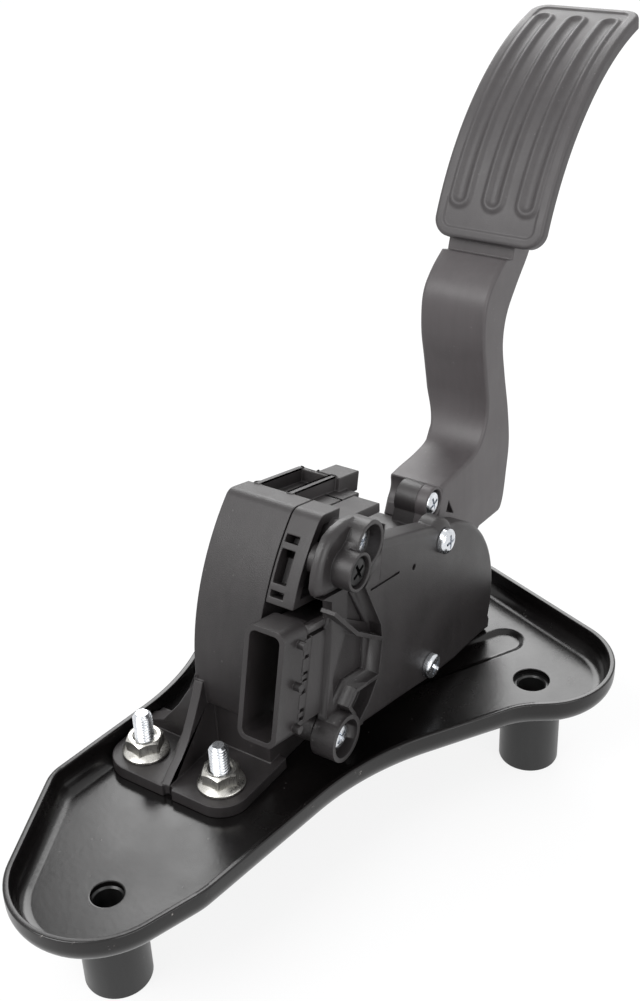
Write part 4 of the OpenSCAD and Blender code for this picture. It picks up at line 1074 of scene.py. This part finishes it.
def make_shells():
    """Housing, its lid and the sensor cover with rounded edges."""
    softened("housing", 0.4)
    softened("side_lid", 0.35)
    make_cover()


# CAD nodes whose shape is right, and their finishes

NODE_SLOTS = {
    "drive_lever": "lever_plastic",
    "foot_bushes": "nut_steel",
    "far_bush": "bush_bronze",
    "near_bush": "bush_bronze",
    "cover_seal": "rubber_black",
    "contact_pins": "contact_metal",
    "circuit_board": "board_green",
    "board_parts": "chip_black",
    "target_rotor": "target_metal",
    "pivot_shaft": "shaft_steel",
    "shaft_clip": "spring_steel",
    "friction_shoe": "shoe_plastic",
    "spring_cup": "lever_plastic",
    "spring_plug": "rubber_black",
    "rest_stop": "rubber_black",
    "end_stop": "rubber_black",
}


def finish_nodes():
    """Gives each CAD node that stays its own material."""
    for name, slot_name in NODE_SLOTS.items():
        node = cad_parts[name]
        node.data.materials.clear()
        node.data.materials.append(MATERIALS[slot_name])


def make_springs():
    """Both springs, each a welded copy of its CAD node with a mesh of its own. In the real pedal they
    shorten as the lever lifts their cup.
    """
    for name in ("outer_spring", "inner_spring"):
        spring = own(name + "_wound", welded_copy(name), "base", "spring_steel", (name,))
        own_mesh(spring)


# Stage

# Place of the camera, and its directions to the right, down and forward
CAMERA_AT = (-183.177, -200.645, 301.453)
CAMERA_AXES = (
    (0.54978, -0.83449, -0.03702),
    (-0.43633, -0.24911, -0.86461),
    (0.71229, 0.49150, -0.50107),
)
# Name, place, aim, width and power of each lamp, in metres and watts
LAMPS = (
    ("key", (-0.9, 0.35, 1.15), (0.08, 0.0, 0.08), 0.9, 17.0),
    ("fill", (-0.35, -1.2, 0.55), (0.10, 0.0, 0.08), 0.9, 9.0),
    ("back", (1.1, 0.6, 0.9), (0.12, 0.0, 0.08), 0.8, 12.0),
)
FLOOR_HALF = 4000.0
WHITE = (1.0, 1.0, 1.0, 1.0)


def seen_rays(tree, path):
    """1 for rays that show the background: from the camera, in a reflection or through glass."""
    both = add_math(tree, "MAXIMUM", path.outputs["Is Camera Ray"], path.outputs["Is Transmission Ray"])
    return add_math(tree, "MAXIMUM", both, path.outputs["Is Glossy Ray"])


def seen_as_white(tree, light, white, share):
    """A shader that is white to the rays that show the background, and lights as given otherwise."""
    blend = tree.nodes.new("ShaderNodeMixShader")
    rays = seen_rays(tree, tree.nodes.new("ShaderNodeLightPath"))
    white.inputs["Color"].default_value = WHITE
    white.inputs["Strength"].default_value = 1.0
    tree.links.new(add_math(tree, "MULTIPLY", rays, share), blend.inputs[0])
    tree.links.new(light.outputs[0], blend.inputs[1])
    tree.links.new(white.outputs[0], blend.inputs[2])
    return blend.outputs[0]


def make_stage(stage):
    """Camera, lamps, world and a pale floor."""
    scene = bpy.context.scene
    data = bpy.data.cameras.new("camera")
    data.sensor_fit = "AUTO"
    data.sensor_width = 36.0
    data.lens = stage.lens
    data.clip_start, data.clip_end = 0.01, 20.0
    camera = linked("camera", data)
    right, down, forward = (Vector(a) for a in CAMERA_AXES)
    rows = Matrix((right, -down, -forward)).transposed().to_4x4()
    camera.matrix_world = Matrix.Translation(Vector(CAMERA_AT) * MM) @ rows
    scene.camera = camera

    for name, place, aim, width, power in LAMPS:
        lamp = bpy.data.lights.new(name, "AREA")
        lamp.shape = "SQUARE"
        lamp.size = width
        lamp.energy = power
        holder = linked(name, lamp)
        holder.location = place
        holder.rotation_mode = "QUATERNION"
        holder.rotation_quaternion = (Vector(aim) - Vector(place)).to_track_quat("-Z", "Y")

    world = bpy.data.worlds.new("studio")
    world.use_nodes = True
    scene.world = world
    tree = world.node_tree
    tree.nodes.clear()
    out = tree.nodes.new("ShaderNodeOutputWorld")
    soft = tree.nodes.new("ShaderNodeBackground")
    soft.inputs["Color"].default_value = (0.97, 0.98, 1.0, 1.0)
    soft.inputs["Strength"].default_value = stage.world_strength
    pale = tree.nodes.new("ShaderNodeBackground")
    tree.links.new(seen_as_white(tree, soft, pale, 1.0), out.inputs[0])

    h = FLOOR_HALF * MM
    mesh = bpy.data.meshes.new("floor")
    mesh.from_pydata([(-h, -h, 0), (h, -h, 0), (h, h, 0), (-h, h, 0)], [], [(0, 1, 2, 3)])
    sheet = linked("floor", mesh)
    material = bpy.data.materials.new("pale_floor")
    material.use_nodes = True
    tree = material.node_tree
    shader = tree.nodes["Principled BSDF"]
    shader.inputs["Base Color"].default_value = (0.82, 0.82, 0.82, 1.0)
    shader.inputs["Roughness"].default_value = 0.9
    glow = tree.nodes.new("ShaderNodeEmission")
    tree.links.new(seen_as_white(tree, shader, glow, 0.85), tree.nodes["Material Output"].inputs[0])
    mesh.materials.append(material)
    scene.view_settings.view_transform = "Standard"


# Settings, operators and panel

class PedalSizes(bpy.types.PropertyGroup):
    plate_bend: bpy.props.FloatProperty(
        name="Plate bend radius",
        description="Outer radius of the bend between floor and rim",
        default=0.0065,
        unit="LENGTH",
    )
    screw_head: bpy.props.FloatProperty(
        name="Screw head", description="Diameter of the bright pan heads", default=0.008, unit="LENGTH"
    )
    pad_width: bpy.props.FloatProperty(
        name="Pad width", description="Width of the foot pad", default=0.038, unit="LENGTH"
    )
    rib_height: bpy.props.FloatProperty(
        name="Pad rib height", description="Height of the ribs on the pad", default=0.0009, unit="LENGTH"
    )
    arm_edge: bpy.props.FloatProperty(
        name="Arm edge radius", description="Rounding of the arm's edges", default=0.0012, unit="LENGTH"
    )


class PedalLooks(bpy.types.PropertyGroup):
    plastic_color: bpy.props.FloatVectorProperty(
        name="Housing colour",
        description="Colour of the black plastic",
        default=(0.0138, 0.0120, 0.0123),
        subtype="COLOR",
        min=0.0,
        max=1.0,
    )
    arm_color: bpy.props.FloatVectorProperty(
        name="Arm colour",
        description="Colour of the arm's plastic",
        default=(0.047, 0.0415, 0.0428),
        subtype="COLOR",
        min=0.0,
        max=1.0,
    )
    lens: bpy.props.FloatProperty(
        name="Lens", description="Focal length of the camera in millimetres", default=49.31
    )
    world_strength: bpy.props.FloatProperty(
        name="World strength", description="Light from all round", default=0.75, min=0.0
    )


def settings():
    """The two groups of settings on the scene."""
    return bpy.context.scene.pedal_sizes, bpy.context.scene.pedal_looks


class PEDAL_OT_finishes(bpy.types.Operator):
    """Makes every material, gives the CAD nodes theirs, and makes the springs"""

    bl_idname = "pedal.finishes"
    bl_label = "Finishes and springs"

    def execute(self, context):
        make_materials(settings()[1])
        finish_nodes()
        make_springs()
        return {"FINISHED"}


class PEDAL_OT_plate(bpy.types.Operator):
    """Makes the pressed base plate and its legs"""

    bl_idname = "pedal.plate"
    bl_label = "Base plate and legs"

    def execute(self, context):
        make_plate(settings()[0])
        make_legs()
        return {"FINISHED"}


class PEDAL_OT_fixings(bpy.types.Operator):
    """Makes the studs, nuts and screws"""

    bl_idname = "pedal.fixings"
    bl_label = "Studs, nuts and screws"

    def execute(self, context):
        make_foot_fixings()
        make_screws(settings()[0])
        return {"FINISHED"}


class PEDAL_OT_pedal(bpy.types.Operator):
    """Makes the pedal arm and its pad"""

    bl_idname = "pedal.pedal"
    bl_label = "Arm and pad"

    def execute(self, context):
        make_arm(settings()[0])
        make_pad(settings()[0])
        return {"FINISHED"}


class PEDAL_OT_shells(bpy.types.Operator):
    """Makes the housing, its side lid and the sensor cover"""

    bl_idname = "pedal.shells"
    bl_label = "Housing, lid and cover"

    def execute(self, context):
        make_shells()
        return {"FINISHED"}


class PEDAL_OT_stage(bpy.types.Operator):
    """Makes the camera, the lamps and the floor"""

    bl_idname = "pedal.stage"
    bl_label = "Stage"

    def execute(self, context):
        make_stage(settings()[1])
        return {"FINISHED"}


OPERATORS = (
    PEDAL_OT_finishes,
    PEDAL_OT_shells,
    PEDAL_OT_plate,
    PEDAL_OT_fixings,
    PEDAL_OT_pedal,
    PEDAL_OT_stage,
)


class PEDAL_PT_panel(bpy.types.Panel):
    """Lists the settings and the buttons that make the pieces"""

    bl_idname = "PEDAL_PT_panel"
    bl_label = "Pedal travel sensor"
    bl_space_type = "VIEW_3D"
    bl_region_type = "UI"
    bl_category = "Pedal"

    def draw(self, context):
        for values in settings():
            for name in values.bl_rna.properties.keys():
                if name not in ("rna_type", "name"):
                    self.layout.prop(values, name)
        for operator in OPERATORS:
            self.layout.operator(operator.bl_idname)


CLASSES = (PedalSizes, PedalLooks, *OPERATORS, PEDAL_PT_panel)


def register():
    for c in CLASSES:
        bpy.utils.register_class(c)
    bpy.types.Scene.pedal_sizes = bpy.props.PointerProperty(type=PedalSizes)
    bpy.types.Scene.pedal_looks = bpy.props.PointerProperty(type=PedalLooks)


def unregister():
    del bpy.types.Scene.pedal_looks
    del bpy.types.Scene.pedal_sizes
    for c in reversed(CLASSES):
        bpy.utils.unregister_class(c)


def main():
    register()
    bpy.ops.pedal.stage()
    bpy.ops.pedal.finishes()
    bpy.ops.pedal.shells()
    bpy.ops.pedal.plate()
    bpy.ops.pedal.fixings()
    bpy.ops.pedal.pedal()


if __name__ == "__main__":
    main()
